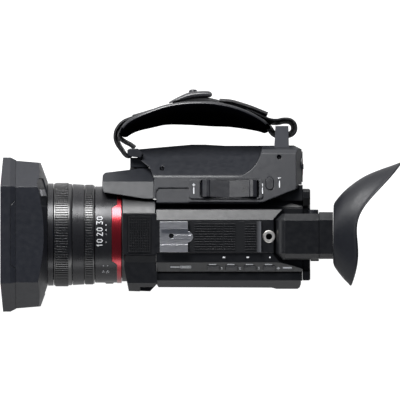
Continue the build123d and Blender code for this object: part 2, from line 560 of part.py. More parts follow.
def make_grip_controls():
    rear = GRIP_REAR_X
    cap = pill_prism(0, 84.0, GRIP_TOP_Z + 0.9)
    parts["grip_button"] = on_top(chamfer(cap.edges().group_by(Axis.Z)[-1], 0.4))

    ring = ring_about(RECORD_Y, RECORD_Z, rear - 2.8, rear + 0.9, 12.9, 8.4)
    tab = block(rear - 2.8, rear + 1.6, RECORD_Y - 2.2, RECORD_Y + 2.2, RECORD_Z + 9, RECORD_Z + 13.1)
    parts["power_ring"] = ring + tab
    record = rod_x(rear - 8.0, rear + 1.2, 7.4, RECORD_Y, RECORD_Z)
    parts["record_button"] = chamfer(record.edges().group_by(Axis.X)[-1], 0.7)

    leaf = block(rear - 2.0, rear, 43.2, 66.4, 14.2, 45.8)
    knuckle = rod_z(14.2, 45.8, 1.0, rear - 1.0, 66.8)
    ridge = block(rear, rear + 0.8, 44.4, 46.0, 22, 38)
    parts["card_door"] = leaf + knuckle + ridge


def make_pod():
    plan = [(-81.7, 49.8), (-79.5, 52.0), (-44, 56.2), (-38, 56.2), (-38, 30.0), (-46, 30.0), (-80.6, 35.3),
            (-82.2, 40)]
    section = [(26, 22), (48, 22), (55.8, 32), (55.8, 66), (44.4, 83.5), (30, 89.2), (26, 89.2)]
    pod = prism_z(plan, 0, 120) & prism_x(section, -90, -30)
    pod -= rod_x(-90, -30, 42.4)
    pod -= prism_z(POD_SEAM_PLAN, 0, 120)
    parts["side_pod"] = keep_largest(pod)


# ---- deck ----
SHOE_WIDTH = 25.6
RIB_PITCH = 2.12


def make_shoe():
    low_y, high_y = DECK_Y - SHOE_WIDTH / 2, DECK_Y + SHOE_WIDTH / 2
    x0, x1 = -33.6, -10.2
    section = [(low_y, DECK_Z), (high_y, DECK_Z), (high_y, 107.4), (high_y - 6.3, 107.4),
               (high_y - 6.3, 106.0),
               (high_y - 3.5, 106.0), (high_y - 3.5, 104.2), (low_y + 3.5, 104.2), (low_y + 3.5, 106.0),
               (low_y + 6.3, 106.0), (low_y + 6.3, 107.4), (low_y, 107.4)]
    shoe = prism_x(section, x0, x1)
    tongue = block(x1, x1 + 1.6, DECK_Y - 4.4, DECK_Y + 4.4, DECK_Z, 104.2)
    tongue += rod_z(DECK_Z, 104.2, 4.2, x1 + 0.2, DECK_Y)
    spring = block(x0 + 9.5, x1 + 3.4, DECK_Y - 1.5, DECK_Y + 1.5, 104.2, 104.6)
    shoe = shoe + tongue + spring - rod_z(100, 110, 2.1, -24.0, DECK_Y + 0.8)
    parts["shoe_plate"] = keep_largest(shoe)

    make_ribbed_cover(low_y, high_y, x1 + 0.2)


def make_ribbed_cover(low_y, high_y, tongue_x):
    cover = block(-8.2, 51.2, low_y, high_y, DECK_Z, DECK_Z + 0.8) - rod_z(100, 110, 4.6, tongue_x, DECK_Y)
    cover = keep_largest(cover)
    ribs = [(-4.6, 19.0), (20.2, 29.4), (37.6, 47.0)]
    for i in range(11):
        y = DECK_Y + (i - 5) * RIB_PITCH
        for a, b in ribs:
            cover += block(a, b, y - 0.35, y + 0.35, DECK_Z + 0.8, DECK_Z + 1.5)
    cover += block(48.3, 51.2, low_y - 0.2, high_y + 0.2, DECK_Z, DECK_Z + 2.0)
    parts["ribbed_cover"] = cover


def make_handle_thread():
    x, y = HANDLE_THREAD
    insert = rod_z(93.0, DECK_Z, 3.9, x, y) + rod_z(DECK_Z, DECK_Z + 0.8, 5.2, x, y)
    insert = chamfer(insert.edges().group_by(Axis.Z)[-1], 0.5)
    parts["handle_thread"] = insert - rod_z(90, 110, THREAD_R, x, y)


def make_microphone_grille():
    """Frame with a field of small slots over the two capsules."""
    grille = block(-60.2, -41.3, -14.9, 15.7, DECK_Z - 1.7, DECK_Z + 0.8)
    for i in range(9):
        for j in range(13):
            x, y = -58.3 + i * 1.9, -12.9 + j * 2.2
            grille -= block(x - 0.55, x + 0.55, y - 0.75, y + 0.75, DECK_Z - 3, DECK_Z + 1)
    parts["microphone_grille"] = grille


def make_deck_buttons():
    for number, x in enumerate(BUTTON_XS, 1):
        cap = button_slot(x, 0, -2.6, 0.9)
        parts[f"deck_button_{number}"] = chamfer(cap.edges().group_by(Axis.Z)[-1], 0.3)


# ---- viewfinder ----
DIOPTER_X, DIOPTER_Z = 95.1, 99.0


def make_viewfinder():
    right, left = VF_RIGHT_Y, VF_LEFT_Y
    body = block(71.0, VF_SPLIT_X, left, right, 85.0, 111.0)
    cone = [(left, 0), (left, 4.6), (left + 5.4, VF_KNUCKLE_R), (right - 5.2, VF_KNUCKLE_R), (right, 4.8),
            (right, 0)]
    outline = face_on(Plane.XY.offset(VF_AXIS_Z), [(VF_AXIS_X - r, y) for y, r in cone])
    knuckle = revolve(outline, Axis((VF_AXIS_X, 0, VF_AXIS_Z), (0, 1, 0)))
    roof = [(right, 84), (right, 105.8), (12.0, 111.0), (-16.0, 111.0), (left + 1.2, 107.0), (left, 104.0),
            (left, 84)]
    housing = (body + knuckle) & prism_x(roof, 60, 102)
    # The leaf of the bracket swings in a slot in the front of the housing, which is open below.
    low, high = VF_LEAF
    for tilt in (0, 20, 40, VF_TILT):
        slot = block(VF_AXIS_X - 4.9, VF_AXIS_X + 4.9, low - 0.4, high + 0.4, 75, VF_AXIS_Z)
        housing -= slot.rotate(Axis((VF_AXIS_X, 0, VF_AXIS_Z), (0, 1, 0)), tilt)
    housing -= rod_y(low - 0.4, high + 0.4, 4.9, VF_AXIS_X, VF_AXIS_Z)
    housing -= rod_y(low - 4.4, high + 4.4, 1.5 + RUN, VF_AXIS_X, VF_AXIS_Z)
    housing -= rod_x(88, VF_SPLIT_X + 1, 11.0, DECK_Y, VF_TUBE_Z)
    housing -= rod_y(right - 1.8, right + 1, 4.2, DIOPTER_X, DIOPTER_Z)
    housing = housing + block(92.6, VF_SPLIT_X, left - 1.2, left, 92.0, 99.0)
    parts["viewfinder_housing"] = keep_largest(housing)


def make_eyepiece():
    right, left = VF_RIGHT_Y + 1.3, VF_LEFT_Y + 0.6
    outline = [(right, 86.0), (right, 105.2), (12.4, 110.8), (-16.0, 110.8), (left + 1.0, 107.0),
               (left, 104.0),
               (left, 86.0), (-18.0, 85.2), (15.0, 85.2)]
    sleeve = chamfer(prism_x(outline, VF_SPLIT_X, VF_END_X).edges().group_by(Axis.X)[0], 0.5)
    sleeve = sleeve + rod_x(89, VF_SPLIT_X + 1, 10.8, DECK_Y, VF_TUBE_Z)
    sleeve -= rod_x(85, 120, 9.2, DECK_Y, VF_TUBE_Z)
    parts["eyepiece_sleeve"] = sleeve
    lens = [(104.0, 0), (105.2, 9.0), (107.6, 9.0), (109.0, 0)]
    parts["eyepiece_lens"] = turned_at(DECK_Y, VF_TUBE_Z, lens)
    wheel = rod_y(VF_RIGHT_Y - 1.7, VF_RIGHT_Y + 3.4, 4.0, DIOPTER_X, DIOPTER_Z)
    parts["diopter_wheel"] = chamfer(wheel.edges().group_by(Axis.Y)[-1], 0.5)


def make_viewfinder_bracket():
    low, high = VF_LEAF
    parts["viewfinder_pin"] = rod_y(low - 4.2, high + 4.2, 1.5, VF_AXIS_X, VF_AXIS_Z)
    leaf = block(VF_AXIS_X - 4.5, VF_AXIS_X + 4.5, low, high, VF_FLOOR_Z, VF_AXIS_Z)
    leaf = leaf + rod_y(low, high, 4.5, VF_AXIS_X, VF_AXIS_Z)
    plate = block(VF_AXIS_X - 7.5, VF_AXIS_X + 9, low - 5, high + 5, VF_FLOOR_Z, VF_FLOOR_Z + 1.2)
    parts["viewfinder_bracket"] = leaf + plate - rod_y(low - 1, high + 1, 1.5, VF_AXIS_X, VF_AXIS_Z)


def make_eyecup():
    """Flared rubber cup, longer on the right, with a rim that dips in the middle for the eye socket."""
    def rib(left, right, half_z, inset):
        """Ellipse whose ends in plan are at left and right."""
        (lx, ly), (rx, ry) = left, right
        length = math.hypot(rx - lx, ry - ly)
        middle = ((lx + rx) / 2, (ly + ry) / 2, VF_TUBE_Z)
        along = ((rx - lx) / length, (ry - ly) / length, 0)
        plane = Plane(origin=middle, x_dir=along, z_dir=(along[1], -along[0], 0))
        return plane * Ellipse(length / 2 - inset, half_z - inset)

    def cup(inset):
        return loft([
            rib((VF_END_X, -23.1), (VF_END_X, 24.3), 20.0, inset),
            rib((115.9, -31.3), (122.2, 37.9), 24.5, inset),
            rib((123.1, -40.4), (135.0, 47.9), 27.5, inset),
            rib((127.3, -43.6), (147.8, 53.8), 29.0, inset),
            rib((131.5, -45.0), (170.0, 61.0), 30.0, inset),
        ])

    short_tip, long_tip = (126.6, -43.8), (166.9, 60.0)
    rim = Spline(short_tip, (132.3, -22.3), (131.5, 0.6), (140.4, 23.4), (156.8, 44.3), long_tip)
    back = Polyline(long_tip, (long_tip[0], 75), (105, 75), (105, -70), (short_tip[0], -70), short_tip)
    trim = make_face([rim, back])
    shell = cup(0) - (cup(CUP_WALL) - block(100, VF_END_X + CUP_WALL, -60, 80, 40, 150))
    shell = shell & extrude(Plane.XY.offset(40) * trim, 110)
    shell -= rod_x(VF_END_X - 2, VF_END_X + 8, 12.0, DECK_Y, VF_TUBE_Z)
    parts["eyecup"] = keep_largest(shell)


# ---- strap ----
def make_strap():
    outer = Spline((-57, 96.0), (-31, 106.9), (-2.5, 110.8), (20, 109.8), (42, 103.8), (58.5, 93))
    inner = Spline((58.5, 83), (42, 87.6), (20, 90.6), (-4, 91.2), (-27, 91.6), (-50, 86.4), (-62, 79))
    nose = Spline((-62, 79), (-64.6, 84), (-57, 96.0))
    outline = make_face([outer, Line((58.5, 93), (58.5, 83)), inner, nose])
    parts["strap_pad"] = extrude(Plane.XY.offset(STRAP_Z - PAD_HALF) * outline, 2 * PAD_HALF)

    low, high = STRAP_Z - STRAP_HALF, STRAP_Z + STRAP_HALF
    front_loop = [(-58.6, 75.2), (-57.0, 71.6), (-57.2, 68.0), (-60.0, 66.6), (-63.4, 69.6), (-66.8, 75.0),
                  (-67.8, 82.0), (-65.6, 91.0), (-58.6, 98.6)]
    back = [(-31, 109.4), (-2.5, 113.2), (22, 112.2), (43, 106.4), (58, 98.4), (68, 96.6)]
    rear_loop = [(77.0, 94.6), (79.6, 89.8), (77.6, 84.6), (72.6, 83.4)]
    parts["strap_webbing"] = band(front_loop + back + rear_loop, 1.6, low, high)

    # Rear post: a moulded arm with a bar that the webbing goes round.
    profile = [(62.2, 70.2), (74.8, 70.2), (74.2, 91.2), (63.4, 91.2)]
    post = prism_z(profile, STRAP_Z - POST_HALF, STRAP_Z + POST_HALF)
    slot = block(64.5, 90.0, 80.0, 86.2, low - 0.6, high + 0.6)
    parts["strap_post"] = keep_largest(post - slot)

    tip, nib, root = (-26, 111.2), (12.0, 118.0), (9.0, 114.7)
    flap = make_face([Spline(tip, (-10, 118.8), (6, 121.0), nib), Line(nib, root),
                      Spline(root, (-10, 114.2), tip)])
    parts["strap_buckle"] = extrude(Plane.XY.offset(low - 2) * flap, high - low + 4)


# ---- inside, battery and tripod plate ----
PLATE_SCREWS = [(-17, -11), (-17, 11), (13, -11), (13, 11)]


def make_inside():
    floor_plate = block(-34, 46, -26, 25, 5.0, 6.6)
    bulkhead = block(-35.6, -34, -26, 25, 5.0, 74) - rod_x(-40, -30, 13)
    rear_wall = block(44.4, 46, -26, 25, 5.0, 70)
    frame = floor_plate + bulkhead + rear_wall
    for x in (-26, 38):
        frame -= rod_z(0, 10, 1.3, x, -20) + rod_z(0, 10, 1.3, x, 18)
    parts["chassis_frame"] = frame
    pcb = block(-30, 42, -24.6, -23.0, 14, 76)
    chips = [(-12, 52, 17, 17), (16, 50, 14, 14), (14, 26, 20, 8), (-18, 26, 9, 12), (34, 62, 7, 7)]
    for x, z, w, h in chips:
        pcb += block(x - w / 2, x + w / 2, -23.0, -21.2, z - h / 2, z + h / 2)
    parts["main_board"] = pcb


def make_battery():
    pack = block(WELL["x0"] + 0.5, BODY_REAR_X - 0.2, -WELL["y"] + 0.4, WELL["y"] - 0.4, WELL["z0"] + 0.4,
                 WELL["z1"] - 0.4)
    pack = chamfer(pack.edges().group_by(Axis.X)[-1], 1.4)
    for z in (30, 34, 38, 42, 46):
        pack -= block(BODY_REAR_X - 0.9, BODY_REAR_X + 1, -12, 12, z - 0.8, z + 0.8)
    parts["battery_pack"] = pack
    latch = block(BODY_REAR_X - 2.0, BODY_REAR_X, -9.0, 3.0, 69.9, 75.1)
    for y in (-6, -3, 0):
        latch += block(BODY_REAR_X, BODY_REAR_X + 0.7, y - 0.6, y + 0.6, 70.6, 74.4)
    parts["battery_latch"] = latch


def make_tripod_plate():
    plate = block(-20, 16, -14, 14, 0, 4.0) + rod_z(4.0, 4.9, 8.0, 0, 0)
    plate -= rod_z(-1, 12, THREAD_R, 0, 0)
    plate -= rod_z(-1, 3.2, 2.3, -14.0, 0)
    for x, y in PLATE_SCREWS:
        plate -= rod_z(-1, 1.7, 2.6, x, y) + rod_z(-1, 12, 1.3, x, y)
    parts["tripod_plate"] = plate


def make_screws():
    screws = [screw(x, y, z - 1.6, 1.7, 1.4) for x, y, z in GRIP_SCREWS]
    for x, y in PLATE_SCREWS:
        screws.append(Pos(x, y, 0.3) * Rot(180, 0, 0) * screw(0, 0, 0, 2.3, 2.2))
    parts["casing_screws"] = Compound(children=[s.solid() for s in screws])


for make in (make_lens_rings, make_rear_barrel, make_lens_inside, make_hood, make_casings, make_hinge_block,
             make_monitor, make_grip, make_rocker, make_grip_controls, make_pod, make_shoe,
             make_handle_thread, make_microphone_grille, make_deck_buttons, make_viewfinder, make_eyepiece,
             make_viewfinder_bracket, make_eyecup, make_strap, make_inside, make_battery,
             make_tripod_plate, make_screws):
    make()

os.makedirs("parts", exist_ok=True)
for name, shape in parts.items():
    export_step(shape, f"parts/{name}.step")
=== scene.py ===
import json
import math

import bmesh
import bpy
from mathutils import Matrix, Vector


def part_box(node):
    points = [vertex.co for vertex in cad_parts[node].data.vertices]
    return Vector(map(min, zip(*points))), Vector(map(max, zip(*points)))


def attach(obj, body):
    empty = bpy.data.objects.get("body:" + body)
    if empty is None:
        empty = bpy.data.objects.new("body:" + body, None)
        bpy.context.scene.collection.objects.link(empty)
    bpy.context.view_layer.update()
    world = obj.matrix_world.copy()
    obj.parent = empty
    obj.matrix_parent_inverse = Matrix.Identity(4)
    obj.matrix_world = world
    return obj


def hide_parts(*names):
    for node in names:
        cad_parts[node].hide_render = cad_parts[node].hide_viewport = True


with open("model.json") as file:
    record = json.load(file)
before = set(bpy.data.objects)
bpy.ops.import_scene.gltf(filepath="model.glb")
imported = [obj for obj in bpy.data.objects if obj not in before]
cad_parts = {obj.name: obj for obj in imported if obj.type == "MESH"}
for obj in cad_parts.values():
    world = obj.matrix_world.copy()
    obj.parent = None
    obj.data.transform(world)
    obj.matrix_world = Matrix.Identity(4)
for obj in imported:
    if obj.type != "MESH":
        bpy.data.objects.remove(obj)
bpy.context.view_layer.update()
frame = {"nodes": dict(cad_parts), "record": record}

MM = 0.001
NODES = frame["nodes"]
AXIS_Z = 56 * MM                         # optical axis above the base
UPRIGHT = Vector((0, 0, 1))


# ---- camera ----
VIEW_CENTRE = Vector((0.0, 29.0, 60.0)) * MM
VIEW_WIDTH = 336 * MM                    # what the picture takes in, from left to right
LENS_MM, SENSOR_MM = 1400.0, 36.0


def make_camera():
    """Looks straight down from far away, which keeps the lines of sight almost parallel."""
    distance = VIEW_WIDTH * LENS_MM / SENSOR_MM
    data = bpy.data.cameras.new("camera")
    data.lens = LENS_MM
    data.sensor_width = SENSOR_MM
    data.clip_start = 0.1
    data.clip_end = distance * 3
    camera = bpy.data.objects.new("camera", data)
    camera.location = VIEW_CENTRE + UPRIGHT * distance
    bpy.context.scene.collection.objects.link(camera)
    bpy.context.scene.camera = camera


# ---- light ----
HORIZON = (0.60, 0.61, 0.64, 1)
ZENITH = (0.10, 0.11, 0.13, 1)
ZENITH_FROM = 0.55                       # height in the sky, out of 1, from which it has its zenith colour


def sky_colour(tree):
    """Colour by the height in the sky, from the horizon to the zenith."""
    place = tree.nodes.new("ShaderNodeTexCoord")
    split = tree.nodes.new("ShaderNodeSeparateXYZ")
    ramp = tree.nodes.new("ShaderNodeValToRGB")
    low, high = ramp.color_ramp.elements
    low.position, low.color = 0.0, HORIZON
    high.position, high.color = ZENITH_FROM, ZENITH
    tree.links.new(place.outputs["Generated"], split.inputs["Vector"])
    tree.links.new(split.outputs["Z"], ramp.inputs["Fac"])
    return ramp.outputs["Color"]


def make_world():
    """Dim overhead and brighter near the horizon for the object, plain white for the background."""
    world = bpy.data.worlds.new("studio")
    world.use_nodes = True
    tree = world.node_tree
    tree.nodes.clear()
    dim = tree.nodes.new("ShaderNodeBackground")
    white = tree.nodes.new("ShaderNodeBackground")
    white.inputs["Color"].default_value = (1, 1, 1, 1)
    path = tree.nodes.new("ShaderNodeLightPath")
    mix = tree.nodes.new("ShaderNodeMixShader")
    output = tree.nodes.new("ShaderNodeOutputWorld")
    tree.links.new(sky_colour(tree), dim.inputs["Color"])
    tree.links.new(path.outputs["Is Camera Ray"], mix.inputs["Fac"])
    tree.links.new(dim.outputs["Background"], mix.inputs[1])
    tree.links.new(white.outputs["Background"], mix.inputs[2])
    tree.links.new(mix.outputs["Shader"], output.inputs["Surface"])
    bpy.context.scene.world = world


def area_light(name, position, target, size, power):
    data = bpy.data.lights.new(name, "AREA")
    data.shape = "RECTANGLE"
    data.size, data.size_y = size
    data.energy = power
    light = bpy.data.objects.new(name, data)
    light.location = position
    light.rotation_euler = (Vector(target) - Vector(position)).to_track_quat("-Z", "Y").to_euler()
    light.visible_camera = False
    bpy.context.scene.collection.objects.link(light)


def softbox(name, towards, degrees, size, power, ahead=0.0):
    """Large soft light: degrees from straight up, towards +Y (1) or -Y (-1), aimed ahead of the middle."""
    distance = 1.3
    angle = math.radians(degrees)
    aim = Vector((-ahead, 0.02, 0.08))
    place = aim + Vector((0, towards * math.sin(angle), math.cos(angle))) * distance
    area_light(name, place, aim, size, power)


def make_light():
    make_world()
    softbox("right_box", 1, 55, (0.9, 0.56), 40, ahead=0.45)
    softbox("left_box", -1, 72, (2.2, 0.36), 6.5)
    area_light("front_box", (-1.4, 0.3, 0.45), (0, 0, 0.06), (0.8, 0.5), 2.5)
    bpy.context.scene.view_settings.view_transform = "Standard"


# ---- floor ----
FLOOR_REACH = 30.0                       # metres from the middle to a side
FLOOR_DROP = 0.4 * MM                    # keeps the floor clear of the faces that stand on it
FLOOR_GLOW = 0.45                        # share of its white glow that reaches the object


def floor_material():
    """White to the camera, but a dimmer light for the object that stands on it."""
    material = bpy.data.materials.new("floor")
    material.use_nodes = True
    tree = material.node_tree
    shader = tree.nodes["Principled BSDF"]
    shader.inputs["Base Color"].default_value = (0.22, 0.22, 0.22, 1)
    shader.inputs["Roughness"].default_value = 0.7
    shader.inputs["Emission Color"].default_value = (1, 1, 1, 1)
    path = tree.nodes.new("ShaderNodeLightPath")
    strength = tree.nodes.new("ShaderNodeMath")
    strength.operation = "MULTIPLY_ADD"
    strength.inputs[1].default_value = 1 - FLOOR_GLOW
    strength.inputs[2].default_value = FLOOR_GLOW
    tree.links.new(path.outputs["Is Camera Ray"], strength.inputs[0])
    tree.links.new(strength.outputs["Value"], shader.inputs["Emission Strength"])
    return material


def make_floor():
    mesh = bpy.data.meshes.new("floor")
    corners = [(x * FLOOR_REACH, y * FLOOR_REACH, 0) for x, y in ((-1, -1), (1, -1), (1, 1), (-1, 1))]
    mesh.from_pydata(corners, [], [(0, 1, 2, 3)])
    mesh.materials.append(floor_material())
    floor = bpy.data.objects.new("floor", mesh)
    floor.location.z = -FLOOR_DROP
    bpy.context.scene.collection.objects.link(floor)


# ---- material nodes ----
class Nodes:
    """Short hand for building a material's node tree."""

    def __init__(self, name):
        self.material = bpy.data.materials.new(name)
        self.material.use_nodes = True
        self.tree = self.material.node_tree
        self.shader = self.tree.nodes["Principled BSDF"]
        self.place = self.add("ShaderNodeTexCoord").outputs["Object"]

    def add(self, kind, **settings):
        node = self.tree.nodes.new(kind)
        for key, value in settings.items():
            if hasattr(node, key):
                setattr(node, key, value)
            else:
                node.inputs[key].default_value = value
        return node

    def link(self, source, target):
        self.tree.links.new(source, target)

    def noise(self, scale, detail=4.0, roughness=0.55, place=None):
        node = self.add("ShaderNodeTexNoise", Scale=scale, Detail=detail, Roughness=roughness)
        self.link(place or self.place, node.inputs["Vector"])
        return node.outputs["Fac"]

    def stretched(self, x, y, z):
        node = self.add("ShaderNodeMapping", Scale=(x, y, z))
        self.link(self.place, node.inputs["Vector"])
        return node.outputs["Vector"]

    def turning_marks(self):
        """Fine circular tool marks about the X axis."""
        return self.noise(900.0, 2.0, 0.5, self.stretched(6.0, 0.05, 0.05))

    def voronoi(self, scale, feature="F1"):
        node = self.add("ShaderNodeTexVoronoi", feature=feature, Scale=scale)
        self.link(self.place, node.inputs["Vector"])
        return node.outputs["Distance"]

    def ramp(self, source, low, high, at=(0.0, 1.0)):
        """A colour or grey that runs from low to high as the source does."""
        node = self.add("ShaderNodeValToRGB")
        for stop, position, value in zip(node.color_ramp.elements, at, (low, high)):
            stop.position = position
            stop.color = (*value, 1) if isinstance(value, tuple) else (value, value, value, 1)
        self.link(source, node.inputs["Fac"])
        return node.outputs["Color"]

    def mix(self, factor, low, high):
        node = self.add("ShaderNodeMix", data_type="RGBA")
        self.link(factor, node.inputs["Factor"])
        for socket, value in ((node.inputs[6], low), (node.inputs[7], high)):
            if isinstance(value, tuple):
                socket.default_value = (*value, 1)
            else:
                self.link(value, socket)
        return node.outputs[2]

    def math(self, operation, a, b):
        node = self.add("ShaderNodeMath", operation=operation)
        for socket, value in ((node.inputs[0], a), (node.inputs[1], b)):
            if isinstance(value, (int, float)):
                socket.default_value = value
            else:
                self.link(value, socket)
        return node.outputs[0]

    def set(self, **values):
        """Sets inputs of the shader to a number, a colour or another node's output."""
        for key, value in values.items():
            socket = self.shader.inputs[key.replace("_", " ")]
            if isinstance(value, tuple):
                socket.default_value = (*value, 1)
            elif isinstance(value, (int, float)):
                socket.default_value = value
            else:
                self.link(value, socket)

    def bump(self, height, strength, distance, edge=0.3 * MM):
        """Relief on top of softened edges."""
        rounded = self.add("ShaderNodeBevel", samples=4, Radius=edge)
        node = self.add("ShaderNodeBump", Strength=strength, Distance=distance)
        self.link(height, node.inputs["Height"])
        self.link(rounded.outputs["Normal"], node.inputs["Normal"])
        self.link(node.outputs["Normal"], self.shader.inputs["Normal"])

    def edges(self, radius, low=0.02, high=0.25):
        """1 on outer and inner edges of the mesh, 0 on flat ground."""
        rounded = self.add("ShaderNodeBevel", samples=4, Radius=radius)
        plain = self.add("ShaderNodeNewGeometry")
        dot = self.add("ShaderNodeVectorMath", operation="DOT_PRODUCT")
        self.link(rounded.outputs["Normal"], dot.inputs[0])
        self.link(plain.outputs["Normal"], dot.inputs[1])
        return self.ramp(self.math("SUBTRACT", 1.0, dot.outputs["Value"]), 0.0, 1.0, (low, high))

    def rubbed(self, radius, share, tone, wear_and_highlight):
        """The tone, with a share of a paler colour along the edges: partly wear, partly a painted highlight.
        """
        return self.mix(self.math("MULTIPLY", self.edges(radius), share), tone, wear_and_highlight)


def paler(colour, times):
    return tuple(c * times for c in colour)


# ---- materials ----
SPARK_SCALE = 2600.0                     # fineness of spark-eroded plastic
COVER_BAR_X = 48.15 * MM                 # front edge of the paler bar on the ribbed cover
BODY_BLACK = (0.0030, 0.0033, 0.0044)
GRIP_BLACK = (0.0130, 0.0140, 0.0175)


def moulded(name, colour, wear_and_highlight, roughness, spark=0.35, edge=0.5, specular=0.5):
    """Moulded plastic, spark-eroded, a little paler along its edges, partly from wear and partly as a painted
    highlight; the edges are rounded by edge in mm.
    """
    n = Nodes(name)
    tone = n.mix(n.ramp(n.noise(18.0, 5.0), 0.0, 1.0, (0.35, 0.7)), colour, paler(colour, 1.18))
    # Paler edges: partly wear, partly a painted highlight.
    n.set(Base_Color=n.rubbed(0.5 * MM, 0.5, tone, wear_and_highlight), Specular_IOR_Level=specular)
    n.set(Roughness=n.ramp(n.noise(240.0, 6.0), roughness - 0.05, roughness + 0.07, (0.3, 0.7)))
    grain = n.noise(SPARK_SCALE, 3.0, 0.6)
    pits = n.voronoi(SPARK_SCALE * 0.55)
    n.bump(n.math("ADD", grain, pits), spark, 0.02 * MM, edge * MM)
    return n.material


def banded_cover(name):
    """The cover's plastic, paler on the bar across its rear end."""
    n = Nodes(name)
    split = n.add("ShaderNodeSeparateXYZ")
    n.link(n.place, split.inputs["Vector"])
    bar = n.ramp(split.outputs["X"], 0.0, 1.0, (COVER_BAR_X, COVER_BAR_X + 0.05 * MM))
    grain = n.noise(SPARK_SCALE, 3.0)
    # Paler edges: partly wear, partly a painted highlight.
    tone = n.rubbed(0.4 * MM, 0.6, (0.0045, 0.0048, 0.0058), (0.035, 0.035, 0.04))
    n.set(Base_Color=n.mix(bar, tone, (0.085, 0.087, 0.095)), Roughness=n.ramp(grain, 0.36, 0.48))
    n.bump(grain, 0.25, 0.02 * MM, 0.2 * MM)
    return n.material


def anodised(name, colour, roughness, metallic=1.0):
    """Turned and anodised metal, paler along its edges: partly rubbed wear, partly a painted highlight."""
    n = Nodes(name)
    marks = n.turning_marks()
    # Edge colour: partly wear, partly a painted highlight.
    wear_and_highlight = tuple(min(c * 3 + 0.05, 1) for c in colour)
    tone = n.mix(marks, colour, paler(colour, 1.25))
    n.set(Base_Color=n.rubbed(0.35 * MM, 0.6, tone, wear_and_highlight), Metallic=metallic)
    n.set(Roughness=n.ramp(n.noise(90.0, 5.0), roughness - 0.04, roughness + 0.08, (0.3, 0.7)))
    n.bump(marks, 0.25, 0.01 * MM)
    return n.material


def lacquered_red(name):
    """Red anodised aluminium under a clear lacquer."""
    n = Nodes(name)
    marks = n.turning_marks()
    n.set(Base_Color=n.mix(marks, (0.24, 0.002, 0.009), (0.34, 0.004, 0.015)), Metallic=0.9)
    n.set(Roughness=n.ramp(marks, 0.24, 0.32), Coat_Weight=0.9, Coat_Roughness=0.22)
    n.bump(marks, 0.1, 0.006 * MM)
    return n.material


def shoe_sheet(name):
    """Pressed steel, brushed across, with a painted highlight along its edges."""
    n = Nodes(name)
    brushed = n.noise(1400.0, 3.0, 0.6, n.stretched(0.12, 1.0, 1.0))
    cloudy = n.ramp(n.noise(130.0, 4.0), 0.0, 1.0, (0.3, 0.75))
    tone = n.mix(cloudy, (0.46, 0.46, 0.48), (0.58, 0.58, 0.60))
    # The bright colour along the edges is a painted highlight.
    n.set(Base_Color=n.mix(n.edges(0.3 * MM, 0.01, 0.12), tone, (0.90, 0.90, 0.92)), Metallic=1.0)
    n.set(Roughness=n.ramp(brushed, 0.34, 0.44, (0.3, 0.7)))
    n.bump(brushed, 0.06, 0.01 * MM, 0.4 * MM)
    return n.material


def bright_metal(name, colour, roughness):
    """Bare metal with fine scratches."""
    n = Nodes(name)
    scratch = n.noise(1500.0, 3.0, 0.6, n.stretched(1.0, 0.08, 1.0))
    n.set(Base_Color=n.mix(scratch, paler(colour, 0.85), colour), Metallic=1.0)
    n.set(Roughness=n.ramp(scratch, roughness, roughness + 0.15, (0.3, 0.7)))
    n.bump(scratch, 0.15, 0.01 * MM)
    return n.material


def rubber(name, colour, roughness, specular, grain=0.3):
    """Matt to satin rubber: a coarser grain also makes the gloss less even."""
    n = Nodes(name)
    drift = n.ramp(n.noise(30.0, 5.0), 0.0, 1.0, (0.3, 0.75))
    n.set(Base_Color=n.mix(drift, colour, paler(colour, 1.3)), Specular_IOR_Level=specular)
    low, high = roughness - 0.2 * grain, roughness + 0.27 * grain
    n.set(Roughness=n.ramp(n.noise(420.0, 4.0), low, high, (0.3, 0.7)))
    n.bump(n.noise(3200.0, 3.0), grain, 0.015 * MM)
    return n.material


def leather(name, colour):
    """Smooth leather with fine cells and soft creases."""
    n = Nodes(name)
    cells = n.voronoi(900.0, "DISTANCE_TO_EDGE")
    creases = n.noise(160.0, 6.0, 0.65)
    tone = n.mix(n.ramp(creases, 0.0, 1.0, (0.35, 0.7)), colour, paler(colour, 1.5))
    n.set(Base_Color=tone, Roughness=n.ramp(cells, 0.42, 0.27, (0.0, 0.25)), Specular_IOR_Level=0.75)
    height = n.math("ADD", n.ramp(cells, 0.0, 1.0, (0.0, 0.2)), n.math("MULTIPLY", creases, 1.2))
    n.bump(height, 0.40, 0.06 * MM)
    return n.material


def lining(name, colour):
    """Brushed microfibre: almost black, with a short soft nap."""
    n = Nodes(name)
    nap = n.noise(2400.0, 4.0, 0.7)
    patches = n.ramp(n.noise(60.0, 4.0), 0.0, 1.0, (0.35, 0.7))
    n.set(Base_Color=n.mix(patches, colour, paler(colour, 1.8)), Specular_IOR_Level=0.0)
    n.set(Roughness=n.ramp(nap, 0.8, 0.95))
    n.bump(nap, 0.6, 0.12 * MM)
    return n.material


def webbing_weave(name, colour, scale):
    """Tight weave of slanting and level threads."""
    n = Nodes(name)
    threads = []
    for direction, fineness, distortion in (("DIAGONAL", 1.0, 0.6), ("Z", 0.88, 0.4)):
        wave = n.add("ShaderNodeTexWave", wave_type="BANDS", bands_direction=direction,
                     Scale=scale * fineness, Distortion=distortion)
        n.link(n.place, wave.inputs["Vector"])
        threads.append(wave.outputs["Fac"])
    height = n.math("MULTIPLY", *threads)
    n.set(Base_Color=n.mix(height, colour, paler(colour, 2.4)), Roughness=0.55)
    n.bump(height, 0.7, 0.15 * MM)
    return n.material


def glass(name, tint):
    """Coated optical glass with a faint bluish sheen."""
    n = Nodes(name)
    n.set(Base_Color=tint, Transmission_Weight=0.85, IOR=1.6, Coat_Weight=0.6)
    n.set(Roughness=n.ramp(n.noise(12.0, 2.0), 0.0, 0.02), Coat_Roughness=0.03, Coat_Tint=(0.55, 0.6, 1.0))
    return n.material


